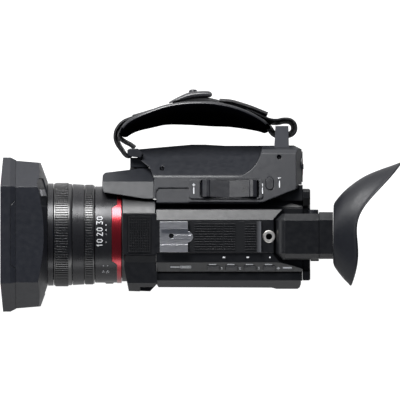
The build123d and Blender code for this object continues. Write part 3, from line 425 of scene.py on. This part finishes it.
def board_green(name):
    """Circuit board with a pattern of tracks."""
    n = Nodes(name)
    tracks = n.add("ShaderNodeTexBrick", Scale=220.0)
    n.link(n.place, tracks.inputs["Vector"])
    n.set(Base_Color=n.mix(tracks.outputs["Fac"], (0.015, 0.13, 0.06), (0.03, 0.24, 0.11)), Roughness=0.35)
    n.bump(tracks.outputs["Fac"], 0.2, 0.02 * MM)
    return n.material


# Arguments of moulded, after the name.
# The second colour is that of the edges: partly wear, partly a painted highlight.
PLASTICS = {
    "body_plastic": (BODY_BLACK, (0.022, 0.022, 0.026), 0.36, 0.3, 0.6),
    "grip_plastic": (GRIP_BLACK, (0.03, 0.03, 0.035), 0.38, 0.3, 1.2),
    "hood_plastic": ((0.0085, 0.0095, 0.0135), (0.03, 0.03, 0.035), 0.40, 0.2, 0.8),
    "pod_plastic": ((0.009, 0.010, 0.013), (0.04, 0.04, 0.045), 0.44, 0.25, 1.0, 0.42),
    "post_plastic": ((0.050, 0.052, 0.060), (0.08, 0.08, 0.085), 0.45, 0.3, 0.8),
    "screen_glass": ((0.004, 0.004, 0.005), (0.02, 0.02, 0.02), 0.08, 0.0, 0.2),
    "button_grey": ((0.20, 0.20, 0.21), (0.3, 0.3, 0.3), 0.4, 0.2, 0.4),
    "key_plastic": ((0.0085, 0.009, 0.012), (0.03, 0.03, 0.035), 0.36, 0.2, 0.5),
    "record_red": ((0.30, 0.012, 0.012), (0.4, 0.05, 0.05), 0.38, 0.1),
    "grille_plastic": ((0.005, 0.0052, 0.0062), (0.02, 0.02, 0.022), 0.36, 0.2, 0.2),
    "battery_plastic": ((0.008, 0.009, 0.011), (0.03, 0.03, 0.033), 0.42),
    "white_ink": ((0.62, 0.63, 0.65), (0.7, 0.7, 0.7), 0.5, 0.1, 0.05),
    "dark_ink": ((0.002, 0.002, 0.003), (0.01, 0.01, 0.01), 0.45, 0.1, 0.05),
}

# Colour and roughness of bright_metal.
BARE_METALS = {
    "black_steel": ((0.035, 0.035, 0.04), 0.35),
    "nickel": ((0.90, 0.87, 0.82), 0.34),
    "steel": ((0.45, 0.45, 0.47), 0.28),
    "chassis_metal": ((0.35, 0.36, 0.38), 0.42),
}


def make_materials():
    made = {name: moulded(name, *settings) for name, settings in PLASTICS.items()}
    made.update({name: bright_metal(name, *settings) for name, settings in BARE_METALS.items()})
    made["cover_plastic"] = banded_cover("cover_plastic")
    made["shoe_sheet"] = shoe_sheet("shoe_sheet")
    made["ring_metal"] = anodised("ring_metal", (0.014, 0.014, 0.016), 0.28, metallic=0.35)
    made["cell_metal"] = anodised("cell_metal", (0.02, 0.02, 0.022), 0.4)
    made["accent_red"] = lacquered_red("accent_red")
    made["ring_rubber"] = rubber("ring_rubber", (0.0030, 0.0030, 0.0040), 0.28, 0.85, grain=0.03)
    made["cup_rubber"] = rubber("cup_rubber", (0.0055, 0.0062, 0.0088), 0.42, 0.35)
    made["strap_leather"] = leather("strap_leather", (0.0110, 0.0110, 0.0135))
    made["strap_lining"] = lining("strap_lining", (0.0012, 0.0012, 0.0018))
    made["strap_nylon"] = webbing_weave("strap_nylon", (0.0035, 0.0035, 0.0045), 700.0)
    made["optical_glass"] = glass("optical_glass", (0.75, 0.80, 0.92))
    made["circuit_board"] = board_green("circuit_board")
    return made


# CAD nodes that look different from the other nodes of their slot.
OWN_FINISH = {
    "grip_shell": "grip_plastic",
    "rocker_bezel": "grip_plastic",
    "strap_post": "post_plastic",
    "ribbed_cover": "cover_plastic",
    "shoe_plate": "shoe_sheet",
    "hood_release_button": "button_grey",
    "casing_screws": "black_steel",
}


def dress_nodes(materials):
    """Gives every CAD node the material of its slot, or its own finish."""
    slots = {part["node"]: part["material_slot"] for part in frame["record"]["subparts"]}
    for name, node in NODES.items():
        node.data.materials.clear()
        node.data.materials.append(materials[OWN_FINISH.get(name, slots[name])])


# ---- mesh helpers ----
def new_object(name, mesh, material, body):
    thing = bpy.data.objects.new(name, mesh)
    bpy.context.scene.collection.objects.link(thing)
    mesh.materials.append(material)
    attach(thing, body)
    return thing


def mesh_of(name, points, faces, smooth=True, weld=0.0):
    """Mesh with its faces turned outwards, in which points closer together than weld become one."""
    mesh = bpy.data.meshes.new(name)
    mesh.from_pydata([tuple(p) for p in points], [], faces)
    bm = bmesh.new()
    bm.from_mesh(mesh)
    if weld:
        bmesh.ops.remove_doubles(bm, verts=bm.verts, dist=weld)
    bmesh.ops.recalc_face_normals(bm, faces=bm.faces)
    bm.to_mesh(mesh)
    bm.free()
    mesh.polygons.foreach_set("use_smooth", [smooth] * len(mesh.polygons))
    return mesh


def keep_sharp(thing, degrees):
    """Smooth shading everywhere but across edges sharper than this."""
    bm = bmesh.new()
    bm.from_mesh(thing.data)
    for edge in bm.edges:
        edge.smooth = not (len(edge.link_faces) == 2 and edge.calc_face_angle(0) > math.radians(degrees))
    bm.to_mesh(thing.data)
    bm.free()


def soften(thing):
    """Rounds the mesh by one subdivision."""
    thing.modifiers.new("smooth", "SUBSURF").render_levels = 1


def circle_angles(count):
    return [2 * math.pi * j / count for j in range(count)]


def band_faces(first, second, around):
    """Quads between two closed rings, each given by the number of its first point."""
    faces = []
    for j in range(around):
        k = (j + 1) % around
        faces.append((first + j, first + k, second + k, second + j))
    return faces


def tube_faces(rings, around, joined=False):
    """Quads between successive rings. Joined, the last meets the first; if not, both ends get a face."""
    faces = []
    for i in range(rings - 1):
        faces += band_faces(i * around, (i + 1) * around, around)
    last = (rings - 1) * around
    if joined:
        return faces + band_faces(last, 0, around)
    return faces + [tuple(range(around)), tuple(range(last, last + around))]


def curve_through(points, pieces=16):
    """Smooth curve through the given points, with this many pieces between two of them."""
    curve = []
    for i in range(len(points) - 1):
        before, after = points[max(i - 1, 0)], points[min(i + 2, len(points) - 1)]
        start, end = points[i], points[i + 1]
        for step in range(pieces):
            t = step / pieces
            spot = 2 * start + (end - before) * t
            spot += (2 * before - 5 * start + 4 * end - after) * t ** 2
            spot += (3 * start - before - 3 * end + after) * t ** 3
            curve.append(spot / 2)
    return curve + [points[-1]]


def smooth_path(points, count):
    """Points spaced evenly along a smooth line through the given ones."""
    curve = curve_through([Vector(p) for p in points])
    lengths = [0.0]
    for a, b in zip(curve, curve[1:]):
        lengths.append(lengths[-1] + (b - a).length)
    result = []
    k = 0
    for i in range(count):
        goal = lengths[-1] * i / (count - 1)
        while k < len(curve) - 2 and lengths[k + 1] < goal:
            k += 1
        span = max(lengths[k + 1] - lengths[k], 1e-9)
        result.append(curve[k].lerp(curve[k + 1], min((goal - lengths[k]) / span, 1)))
    return result


def heading(line, i):
    """Direction of a line at its point i."""
    return (line[min(i + 1, len(line) - 1)] - line[max(i - 1, 0)]).normalized()


# ---- lens rings ----
RING_BORE = 38.2                         # inner radius of both ribbed rings, in mm
FLUTE_STEPS, FLUTE_WIDTH = 8, 3          # points from one flute to the next, and those of them that are cut


def ring_size(node):
    """Front end, rear end and outer radius of a ring, in mm."""
    low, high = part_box(node)
    return low[0] / MM, high[0] / MM, (high[1] - low[1]) / 2 / MM


def turned_ring(materials, node, profile, flutes, depth):
    """Ring about the optical axis. Its profile is (x, radius, fluted) in mm; flutes cut the fluted rows."""
    around = flutes * FLUTE_STEPS
    points = []
    for x, radius, fluted in profile:
        for j, angle in enumerate(circle_angles(around)):
            cut = depth if fluted and j % FLUTE_STEPS < FLUTE_WIDTH else 0.0
            r = (radius - cut) * MM
            points.append((x * MM, r * math.cos(angle), AXIS_Z + r * math.sin(angle)))
    name = node + "_ribbed"
    mesh = mesh_of(name, points, tube_faces(len(profile), around, joined=True))
    ring = new_object(name, mesh, materials["ring_rubber"], node)
    keep_sharp(ring, 28)
    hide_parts(node)


def make_focus_ring(materials):
    front, rear, outer = ring_size("focus_ring")
    profile = [
        (front, RING_BORE, False),
        (front, outer - 1.4, False),
        (front + 0.5, outer - 0.7, False),
        (front + 1.2, outer - 0.6, False),
        (front + 1.5, outer, True),
        (rear - 3.6, outer, True),
        (rear - 3.3, outer - 0.9, False),
        (rear - 1.2, outer - 0.9, False),
        (rear - 0.4, outer - 1.3, False),
        (rear, outer - 2.0, False),
        (rear, RING_BORE, False),
    ]
    turned_ring(materials, "focus_ring", profile, flutes=120, depth=0.9)


def make_control_ring(materials):
    front, rear, outer = ring_size("control_ring")
    profile = [
        (front, RING_BORE, False),
        (front, outer - 0.8, False),
        (front + 0.4, outer - 0.3, False),
        (front + 0.9, outer - 0.3, False),
        (front + 1.1, outer, True),
        (rear - 1.5, outer, True),
        (rear - 1.3, outer - 0.5, False),
        (rear - 0.4, outer - 0.6, False),
        (rear, outer - 1.0, False),
        (rear, RING_BORE, False),
    ]
    turned_ring(materials, "control_ring", profile, flutes=116, depth=0.8)


# ---- eyecup ----
CUP_AROUND, CUP_STEPS = 96, 26           # points round a section, and sections from the root to the lip
CUP_WALL = 2.0
LIP_DIP = 17.2                           # how far the lip dips for the eye socket


def cup_lines(root_x):
    """Sides of the cup seen from above, and half its height, at each section in mm."""
    left = [(root_x, -22.4, 0), (root_x + 1.2, -26.6, 0), (115.9, -31.6, 0), (120.6, -37.4, 0),
            (125.6, -42.2, 0)]
    right = [(root_x, 23.6, 0), (root_x + 2.4, 28.4, 0), (122.4, 38.0, 0), (136.0, 47.9, 0),
             (150.0, 54.2, 0), (168.0, 60.4, 0)]
    heights = [(0, 19.0, 0), (0.12, 21.4, 0), (0.4, 24.6, 0), (0.75, 27.6, 0), (1.0, 29.0, 0)]
    halves = [spot.y for spot in smooth_path(heights, CUP_STEPS)]
    return smooth_path(left, CUP_STEPS), smooth_path(right, CUP_STEPS), halves


def cup_ring(lines, centre_z, step, inset):
    """Section of the cup, moved inwards by the inset. The dip towards its middle grows with the step."""
    left, right, half = (line[step] for line in lines)
    share = step / (CUP_STEPS - 1)
    middle, reach = (left + right) / 2, (right - left) / 2
    ring = []
    for angle in circle_angles(CUP_AROUND):
        along = math.cos(angle)
        spot = middle + reach * along * (1 - inset / reach.length)
        dip = LIP_DIP * math.exp(-((along - 0.13) / 0.58) ** 2) * (1 - along ** 8) * share ** 1.8
        rise = (half - inset) * math.sin(angle) * (1 + 0.04 * share * math.cos(2 * angle))
        ring.append(Vector((spot.x - dip, spot.y, centre_z + rise)) * MM)
    return ring


def cup_inner_ring(lines, centre_z, step):
    """Section of the inside. The first two run inwards instead, which gives the cup its floor."""
    if step > 1:
        return cup_ring(lines, centre_z, step, CUP_WALL)
    ring = cup_ring(lines, centre_z, 2, CUP_WALL + 9 * (2 - step))
    return [spot + Vector((0.8, 0, 0)) * MM for spot in ring]


def cup_swell(outer, inner):
    """The outside's last three sections, which swell by up to half a millimetre."""
    swell = []
    for k, size in ((3, 0.05), (2, 0.25), (1, 0.45)):
        swell.append([a + (a - b).normalized() * size * MM for a, b in zip(outer[-k], inner[-k])])
    return swell


def cup_bead(outer, inner, turns=6):
    """Rolled edge that runs round from the outside of the lip to its inside."""
    bead = []
    for turn in range(1, turns):
        phi = math.pi * turn / turns
        ring = []
        for start, end, before in zip(outer[-1], inner[-1], outer[-3]):
            half = (start - end).length / 2
            out = (start - end).normalized() * half * 1.35 * math.cos(phi)
            growth = (start - before).normalized() * half * 1.5 * math.sin(phi)
            ring.append((start + end) / 2 + out + growth)
        bead.append(ring)
    return bead


def make_eyecup(materials):
    """Flared cup: its sections grow from the sleeve to the lip, which ends in a bead."""
    low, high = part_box("eyecup")
    lines = cup_lines(low[0] / MM)
    centre_z = (low[2] + high[2]) / 2 / MM
    outer = [cup_ring(lines, centre_z, step, 0.0) for step in range(CUP_STEPS)]
    inner = [cup_inner_ring(lines, centre_z, step) for step in range(CUP_STEPS)]
    rings = outer[:-3] + cup_swell(outer, inner) + cup_bead(outer, inner) + list(reversed(inner))
    points = [spot for ring in rings for spot in ring]
    mesh = mesh_of("eyecup_moulded", points, tube_faces(len(rings), CUP_AROUND, joined=True))
    cup = new_object("eyecup_moulded", mesh, materials["cup_rubber"], "viewfinder")
    keep_sharp(cup, 50)
    soften(cup)
    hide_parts("eyecup")


# ---- strap pad ----
STRAP_Z = 55.0                           # middle height of the strap, in mm
# Upper and lower edge of the pad seen from above, in mm.
PAD_TOP = [(-67.6, 83.0), (-64.9, 90.6), (-57.6, 96.4), (-41.2, 103.0), (-25.4, 107.8), (-8.6, 110.0),
           (9.2, 109.8), (26.0, 107.0), (40.0, 102.4), (52.0, 96.6), (58.6, 90.6)]
PAD_FOOT = [(-63.6, 80.6), (-60.4, 83.2), (-52.4, 87.6), (-40.0, 91.0), (-27.2, 93.6), (-8.6, 93.2),
            (9.2, 92.0), (24.0, 91.4), (38.0, 89.4), (50.0, 86.6), (57.0, 83.4)]
PAD_EDGE_POINTS = 61
PAD_LONG, PAD_TALL = 96, 30              # steps along the pad and up it
PAD_THICK = 5.2
PAD_REACH = 31.0                         # half its full height
PAD_ROLL, PAD_GROOVE = 4.0, 6.2          # width of the rolled edge, and how far in the sewn groove lies


def pad_half_height(u):
    """Half the height of the pad at a share u of its length: rounded ends, tallest in the middle."""
    return 9.0 + 0.71 * PAD_REACH * max(1 - abs(2 * u - 1) ** 3.2, 0.0) ** 0.5


def pad_middle(edges, u, v):
    """Middle surface of the pad: u along it, v from -1 at its foot to 1 at its top."""
    top, foot = edges
    spot = u * (len(top) - 1)
    i = min(int(spot), len(top) - 2)
    high = top[i].lerp(top[i + 1], spot - i)
    low = foot[i].lerp(foot[i + 1], spot - i)
    half = pad_half_height(u)
    place = low.lerp(high, 0.5 + 0.5 * v * half / PAD_REACH)
    bulge = 1.4 * (1 - v * v)
    return Vector((place.x, place.y + bulge, STRAP_Z + v * half)) * MM


def pad_normal(edges, u, v):
    """Direction through the pad, square to its middle surface."""
    along = pad_middle(edges, min(u + 0.01, 1), v) - pad_middle(edges, max(u - 0.01, 0), v)
    up = pad_middle(edges, u, min(v + 0.02, 1)) - pad_middle(edges, u, max(v - 0.02, -1))
    return along.cross(up).normalized()


def pad_half_thickness(u, v, side):
    """Rolled off at the edge. The outside, side 1, also has a sewn groove and faint creases."""
    edge = min(1 - abs(v), 8.8 * min(u, 1 - u)) * PAD_REACH
    roll = min(max(edge / PAD_ROLL, 0.0), 1.0)
    half = PAD_THICK / 2 * math.sqrt(max(1 - (1 - roll) ** 2, 0.0))
    if side > 0:
        half -= 0.7 * math.exp(-((edge - PAD_GROOVE) / 0.7) ** 2)
        half += 0.14 * roll * math.sin(u * 37 + v * 2) * math.sin(v * 5 + u * 11)
    return half


def pad_points(edges, side):
    points = []
    for i in range(PAD_LONG + 1):
        for j in range(PAD_TALL + 1):
            u, v = i / PAD_LONG, 2 * j / PAD_TALL - 1
            offset = pad_normal(edges, u, v) * pad_half_thickness(u, v, side)
            points.append(pad_middle(edges, u, v) - offset * side * MM)
    return points


def pad_faces(first):
    """Quads of one side of the pad, whose points start at number first."""
    row = PAD_TALL + 1
    corners = [first + i * row + j for i in range(PAD_LONG) for j in range(PAD_TALL)]
    return [(corner, corner + row, corner + row + 1, corner + 1) for corner in corners]


def make_strap_pad(materials):
    """Padded leather outside, with a rolled edge all round, and a soft black lining against the hand."""
    edges = [smooth_path([(x, y, 0) for x, y in edge], PAD_EDGE_POINTS) for edge in (PAD_TOP, PAD_FOOT)]
    points, faces = [], []
    for side in (1, -1):
        faces += pad_faces(len(points))
        points += pad_points(edges, side)
    mesh = mesh_of("strap_pad_sewn", points, faces, weld=0.02 * MM)
    pad = new_object("strap_pad_sewn", mesh, materials["strap_leather"], "camera_body")
    mesh.materials.append(materials["strap_lining"])
    for face in mesh.polygons:
        face.material_index = 1 if face.normal.y < -0.15 else 0
    soften(pad)
    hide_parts("strap_pad")


# ---- strap webbing ----
# Routes as (x, y, height above the strap's middle), in mm.
FRONT_INNER = [(-54.6, 72.8, 0), (-58.4, 75.6, 0), (-62.6, 77.8, 0), (-66.4, 80.6, 0), (-67.6, 84.0, -0.5),
               (-64.4, 89.6, -1)]
FRONT_OUTER = [(-56.4, 71.2, 0), (-57.6, 67.0, 0), (-60.0, 65.6, 0), (-62.6, 67.0, 0), (-65.6, 71.2, 0),
               (-69.0, 76.6, 0), (-70.2, 82.2, 0), (-68.4, 88.4, 0), (-62.4, 94.0, 0), (-50.0, 97.6, 0)]
REAR_LOOP = [(-56.0, 96.4, 0), (-48.0, 98.6, 0), (-34.0, 102.6, 0), (-16.0, 105.6, 0), (2.0, 106.8, 0),
             (19.0, 107.0, 2), (32.0, 105.0, 3), (45.0, 101.0, 4), (57.0, 95.6, 3), (64.4, 94.6, 1),
             (70.0, 95.6, 0), (75.4, 95.2, 0), (78.6, 92.2, 0), (79.0, 88.0, 0), (76.8, 84.8, 0),
             (72.0, 83.2, 0), (66.0, 83.2, 0), (61.6, 85.0, 0), (58.2, 89.6, 0), (54.4, 93.4, 0)]
TAIL = [(16.0, 109.4, 4), (26.0, 108.6, 5), (40.0, 104.4, 6), (49.0, 100.9, 6), (55.6, 98.2, 6)]
UNDERLAY = [(-23.0, 109.8, 1), (-12.0, 112.0, 1), (-2.0, 113.0, 1), (5.0, 112.8, 1), (12.0, 111.4, 2),
            (19.0, 109.6, 3)]
WEBBING_WIDTH, DOUBLED_WIDTH = 24.0, 25.0
# Section of a band in shares of its width and thickness, with its corners taken off.
BAND_SECTION = [(-0.5, -0.35), (-0.485, -0.5), (0.485, -0.5), (0.5, -0.35),
                (0.5, 0.35), (0.485, 0.5), (-0.485, 0.5), (-0.5, 0.35)]


def ribbon(materials, name, route, width, thick, lean=lambda share: 0.0, steps=140):
    """Woven band along the route. Its width is upright but for the angle that lean gives along it."""
    line = smooth_path([(x, y, STRAP_Z + rise) for x, y, rise in route], steps)
    points = []
    for i, here in enumerate(line):
        ahead = heading(line, i)
        tilt = lean(i / (steps - 1))
        side = ahead.cross(UPRIGHT).normalized()
        across = (UPRIGHT * math.cos(tilt) + side * math.sin(tilt)).normalized()
        out = ahead.cross(across).normalized()
        points += [(here + across * width * a + out * thick * b) * MM for a, b in BAND_SECTION]
    mesh = mesh_of(name, points, tube_faces(steps, len(BAND_SECTION)))
    band = new_object(name, mesh, materials["strap_nylon"], "camera_body")
    keep_sharp(band, 40)
    return band


def make_webbing(materials):
    """One length of webbing: round the lug at the front, behind the pad and round the post at the rear."""
    ribbon(materials, "strap_webbing_front_inner", FRONT_INNER, WEBBING_WIDTH, 1.7, lambda share: -0.10)
    ribbon(materials, "strap_webbing_front_outer", FRONT_OUTER, WEBBING_WIDTH, 1.9,
           lambda share: -0.04 - 0.2 * share)
    rear = ribbon(materials, "strap_webbing_rear", REAR_LOOP, WEBBING_WIDTH, 1.7,
                  lambda share: -0.30 if share < 0.55 else -0.16, steps=240)
    ribbon(materials, "strap_webbing_tail", TAIL, DOUBLED_WIDTH, 2.4, lambda share: -0.30)
    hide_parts("strap_webbing")


# ---- strap flap and stud ----
FLAP_LINE = [(-26.0, 110.2, 0), (-19.2, 112.9, 0), (-9.6, 116.0, 0), (-1.0, 117.3, 0), (6.0, 117.4, 0),
             (10.2, 116.6, 0)]
FLAP_Z = 57.0
FLAP_WIDTH = 27.0
FLAP_STEPS, FLAP_AROUND = 48, 20


def squared_off(value, power):
    """Pushes a sine or cosine towards 1 or -1, so that a round outline gets square."""
    return math.copysign(abs(value) ** power, value)


def flap_ring(here, side, step):
    """Section of the flap: thin and narrower at its start, thick behind it, rounded off at its end."""
    share = step / (FLAP_STEPS - 1)
    thick = 0.5 + 2.1 * min(share / 0.45, 1.0)
    thick *= math.sqrt(max(1 - max((share - 0.90) / 0.10, 0.0) ** 2, 0.02))
    half = FLAP_WIDTH / 2 * (0.80 + 0.20 * min(step / 8, 1.0))
    ring = []
    for angle in circle_angles(FLAP_AROUND):
        across = squared_off(math.cos(angle), 0.25) * half
        lift = squared_off(math.sin(angle), 0.7) * thick
        crown = 0.8 * (1 - (across / half) ** 2)
        spot = here + side * (lift + crown)
        ring.append(Vector((spot.x, spot.y, FLAP_Z + across)) * MM)
    return ring


def make_buckle(materials):
    """Leather flap that closes the strap and rises off the webbing, with a thick band under it: webbing, made
    thick enough that its dark fills the shaded gap to the pad, as painted shade.
    """
    line = smooth_path(FLAP_LINE, FLAP_STEPS)
    points = []
    for i, here in enumerate(line):
        ahead = heading(line, i)
        points += flap_ring(here, Vector((-ahead.y, ahead.x, 0)), i)
    mesh = mesh_of("strap_flap", points, tube_faces(FLAP_STEPS, FLAP_AROUND))
    flap = new_object("strap_flap", mesh, materials["strap_leather"], "camera_body")
    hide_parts("strap_buckle")
    soften(flap)
    # Webbing under the flap, thickened so that its dark fills the shaded gap to the pad: partly real webbing,
    # partly painted shade.
    ribbon(materials, "strap_flap_underlay_and_shade", UNDERLAY, DOUBLED_WIDTH, 5.0, steps=40)


def make_stud(materials, around=40):
    """Turned stud in the flap. Its profile is (y, radius) in mm."""
    centre = Vector((-5.8, 0.0, FLAP_Z))
    profile = [(117.6, 3.4), (120.2, 3.6), (121.2, 3.2), (121.8, 2.2), (122.0, 0.4)]
    points = []
    for y, radius in profile:
        for angle in circle_angles(around):
            points.append((centre + Vector((radius * math.cos(angle), y, radius * math.sin(angle)))) * MM)
    mesh = mesh_of("strap_stud", points, tube_faces(len(profile), around))
    stud = new_object("strap_stud", mesh, materials["key_plastic"], "camera_body")
    keep_sharp(stud, 40)


# ---- seam shades ----
# Outline in plan, lower end and upper end, in mm.
# Dark strips standing in for the shade in the seams.
SEAM_SHADES = {
    "pod_seam_shade": ([(-59.0, 54.2), (-42.6, 56.0), (-41.0, 57.0), (-58.4, 57.2)], 24.0, 64.0),
    "collar_seam_shade": ([(-38.0, 17.0), (-35.5, 17.0), (-35.5, 29.2), (-38.0, 29.2)], 12.0, 74.0),
}


def make_seals(materials):
    """Dark strips in the seams of the pod and of the lens collar against the grip and the body: painted shade
    that stands for the shade in those seams.
    """
    for name, (plan, low_z, high_z) in SEAM_SHADES.items():
        points = [Vector((x, y, z)) * MM for z in (low_z, high_z) for x, y in plan]
        mesh = mesh_of(name, points, tube_faces(2, len(plan)))
        new_object(name, mesh, materials["ring_rubber"], "camera_body")


# ---- printed marks ----
# Strokes of each sign in a square from 0 to 1.
STROKES = {
    "T": [((0, 1), (1, 1)), ((0.5, 1), (0.5, 0))],
    "W": [((0, 1), (0.25, 0)), ((0.25, 0), (0.5, 0.7)), ((0.5, 0.7), (0.75, 0)), ((0.75, 0), (1, 1))],
    "+": [((0.1, 0.5), (0.9, 0.5)), ((0.5, 0.1), (0.5, 0.9))],
    "-": [((0.1, 0.5), (0.9, 0.5))],
    "1": [((0.2, 0.75), (0.55, 1)), ((0.55, 1), (0.55, 0))],
    "2": [((0, 0.9), (0.3, 1)), ((0.3, 1), (0.9, 0.85)), ((0.9, 0.85), (0, 0)), ((0, 0), (1, 0))],
    "3": [((0, 1), (1, 1)), ((1, 1), (0.4, 0.55)), ((0.4, 0.55), (1, 0.3)), ((1, 0.3), (0.7, 0)),
          ((0.7, 0), (0, 0.05))],
    "4": [((0.7, 0), (0.7, 1)), ((0.7, 1), (0, 0.35)), ((0, 0.35), (1, 0.35))],
    "0": [((0, 0.2), (0, 0.8)), ((0, 0.8), (0.5, 1)), ((0.5, 1), (1, 0.8)), ((1, 0.8), (1, 0.2)),
          ((1, 0.2), (0.5, 0)), ((0.5, 0), (0, 0.2))],
    "bar": [((0, 0.5), (1, 0.5))],
    "square": [((0, 0), (1, 0)), ((1, 0), (1, 1)), ((1, 1), (0, 1)), ((0, 1), (0, 0))],
    "arrow": [((0, 0), (1, 0.5)), ((1, 0.5), (0, 1)), ((0, 1), (0, 0))],
}
INK_ROOT, INK_TOP = -0.25, 0.06          # from below the surface to just above it, in mm


def stroke_boxes(glyph, size, line):
    """Flat outlines of a sign's strokes, in its own plane."""
    width, height = size
    boxes = []
    for (ax, ay), (bx, by) in STROKES[glyph]:
        a = Vector(((ax - 0.5) * width, (ay - 0.5) * height))
        b = Vector(((bx - 0.5) * width, (by - 0.5) * height))
        ahead = (b - a).normalized() * line / 2
        side = Vector((-ahead.y, ahead.x))
        boxes.append([a - ahead - side, b + ahead - side, b + ahead + side, a - ahead + side])
    return boxes


def print_marks(name, marks, place, ink, body="camera_body"):
    """Raised ink: marks are (glyph, centre, size, line), and place lays a flat point on the part."""
    points, faces = [], []
    for glyph, (cx, cy), size, line in marks:
        for corners in stroke_boxes(glyph, size, line):
            first = len(points)
            for lift in (INK_ROOT, INK_TOP):
                points += [place(cx + corner.x, cy + corner.y, lift) * MM for corner in corners]
            faces += [tuple(first + i for i in face) for face in tube_faces(2, 4)]
    new_object(name, mesh_of(name, points, faces, smooth=False), ink, body)


# ---- where the marks lie ----
DECK_Z = 101.6
BEZEL_Z, GRIP_TOP_Z = 90.0, 89.0
GRIP_HINGE = Vector((0.0, 38.1, GRIP_TOP_Z))     # at the body, where the grip's top starts to fall away
GRIP_FALL = Matrix.Rotation(math.radians(-15.0), 3, "X")
STRIP_Y, STRIP_Z = -31.0, 96.4           # lower edge of the sloped strip below the deck
STRIP_RISE = 5.0 / 7.8
BARREL_RADIUS = 40.5


def on_deck(u, v, lift):
    return Vector((u, v, DECK_Z + lift))


def on_grip(height, origin):
    """On the grip's sloping top, read from the lens end. Its height is given by x, before the slope."""
    def place(u, v, lift):
        x, y = origin[0] - v, origin[1] + u
        return GRIP_FALL @ (Vector((x, y, height(x) + lift)) - GRIP_HINGE) + GRIP_HINGE
    return place


def on_barrel(x0):
    """Wraps a point round the barrel: u runs along the girth, and v along the axis to the front."""
    def place(u, v, lift):
        angle = u / BARREL_RADIUS
        r = BARREL_RADIUS + lift
        return Vector((x0 - v, r * math.sin(angle), AXIS_Z / MM + r * math.cos(angle)))
    return place


def on_strip(u, v, lift):
    """On the sloped strip below the deck: u along X, v up the slope from its lower edge."""
    along = math.hypot(1, STRIP_RISE)
    y = STRIP_Y + v / along
    z = STRIP_Z + (y - STRIP_Y) * STRIP_RISE
    return Vector((u, y - lift * STRIP_RISE / along, z + lift / along))


# ---- what the marks are ----
def mark_rocker(materials):
    """Letters on the rocker, whose two ends rise from its middle."""
    low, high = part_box("zoom_rocker")
    middle = (low[0] + high[0]) / 2 / MM

    def rocker_top(x):
        return 89.9 + abs(x - middle) * 1.3 / 16.4

    letters = [("T", (0.6, 10.6 - middle), (4.0, 4.0), 0.75), ("W", (0.4, -12.4 - middle), (5.6, 4.2), 0.75)]
    place = on_grip(rocker_top, (0.0, 38.1))
    print_marks("rocker_letters", letters, place, materials["dark_ink"], "zoom_rocker")


def mark_grip(ink):
    """Signs before and behind the rocker, and a bar with a digit by the oval button."""
    signs = []
    for sign, v in (("+", 5.2), ("-", -52.4)):
        signs.append((sign, (3.4, v), (2.4, 2.4), 0.55))
        signs.append(("bar", (-1.6, v), (4.6, 1.4), 0.8))
    print_marks("bezel_marks", signs, on_grip(lambda x: BEZEL_Z, (0.0, 38.1)), ink)
    button = [("bar", (0.0, 0.0), (5.0, 1.6), 0.8), ("1", (5.4, 0.0), (1.4, 2.2), 0.5)]
    print_marks("grip_button_mark", button, on_grip(lambda x: GRIP_TOP_Z, (66.6, 42.4)), ink)


def mark_strip(ink):
    """A bar and a digit for each of the four deck buttons, a badge in front of them and signs behind them."""
    strip = []
    for number, x in enumerate((11.1, 26.4, 42.0, 58.0), 1):
        strip.append(("bar", (x - 0.6, 7.2), (5.4, 1.0), 0.7))
        strip.append((str(number), (x + 7.2, 3.4), (1.2, 2.0), 0.42))
    strip += [("bar", (-21.0, 4.6), (7.0, 1.2), 0.8), ("square", (-12.0, 4.6), (8.6, 1.9), 0.35),
              ("bar", (-12.0, 4.6), (6.4, 0.6), 0.6), ("bar", (73.2, 3.9), (6.0, 1.8), 1.5),
              ("arrow", (66.4, 3.4), (1.3, 1.5), 0.4)]
    print_marks("strip_marks", strip, on_strip, ink)


def mark_deck(ink):
    """Small bars on the level deck."""
    bars = [("bar", (58.5, -19.0), (0.1, 1.0), 1.0), ("bar", (20.0, -19.0), (0.8, 1.0), 1.2),
            ("bar", (40.0, -19.0), (0.8, 1.0), 1.2)]
    print_marks("deck_marks", bars, on_deck, ink)


def mark_barrel(ink):
    """Zoom scale of nine ticks with the numbers 10, 20 and 30, and two places of the filter knob."""
    scale = []
    for i in range(9):
        scale.append(("bar", (-10.0 + i * 2.5, 8.6), (0.01, 0.5), 0.30 if i % 4 else 0.55))
    for digit, u in zip("102030", (-9.0, -5.2, 0.4, 4.4, 10.0, 14.0)):
        scale.append((digit, (u, 3.6), (2.4, 4.8), 0.6))
    scale += [("bar", (-3.0, -1.8), (7.0, 1.0), 0.5), ("bar", (6.0, -1.8), (5.0, 1.0), 0.5)]
    print_marks("barrel_scale", scale, on_barrel(-80.5), ink)
    filters = []
    for digit, v in (("1", 6.0), ("2", 2.4)):
        filters.append(("bar", (-31.5, v), (6.0, 1.0), 0.9))
        filters.append((digit, (-36.0, v), (1.2, 2.2), 0.4))
    print_marks("filter_marks", filters, on_barrel(-75.0), ink)


def make_marks(materials):
    mark_rocker(materials)
    for mark in (mark_grip, mark_strip, mark_deck, mark_barrel):
        mark(materials["white_ink"])


make_camera()
make_light()
make_floor()
materials = make_materials()
dress_nodes(materials)
make_focus_ring(materials)
make_control_ring(materials)
make_eyecup(materials)
make_strap_pad(materials)
make_webbing(materials)
make_buckle(materials)
make_stud(materials)
make_seals(materials)
make_marks(materials)
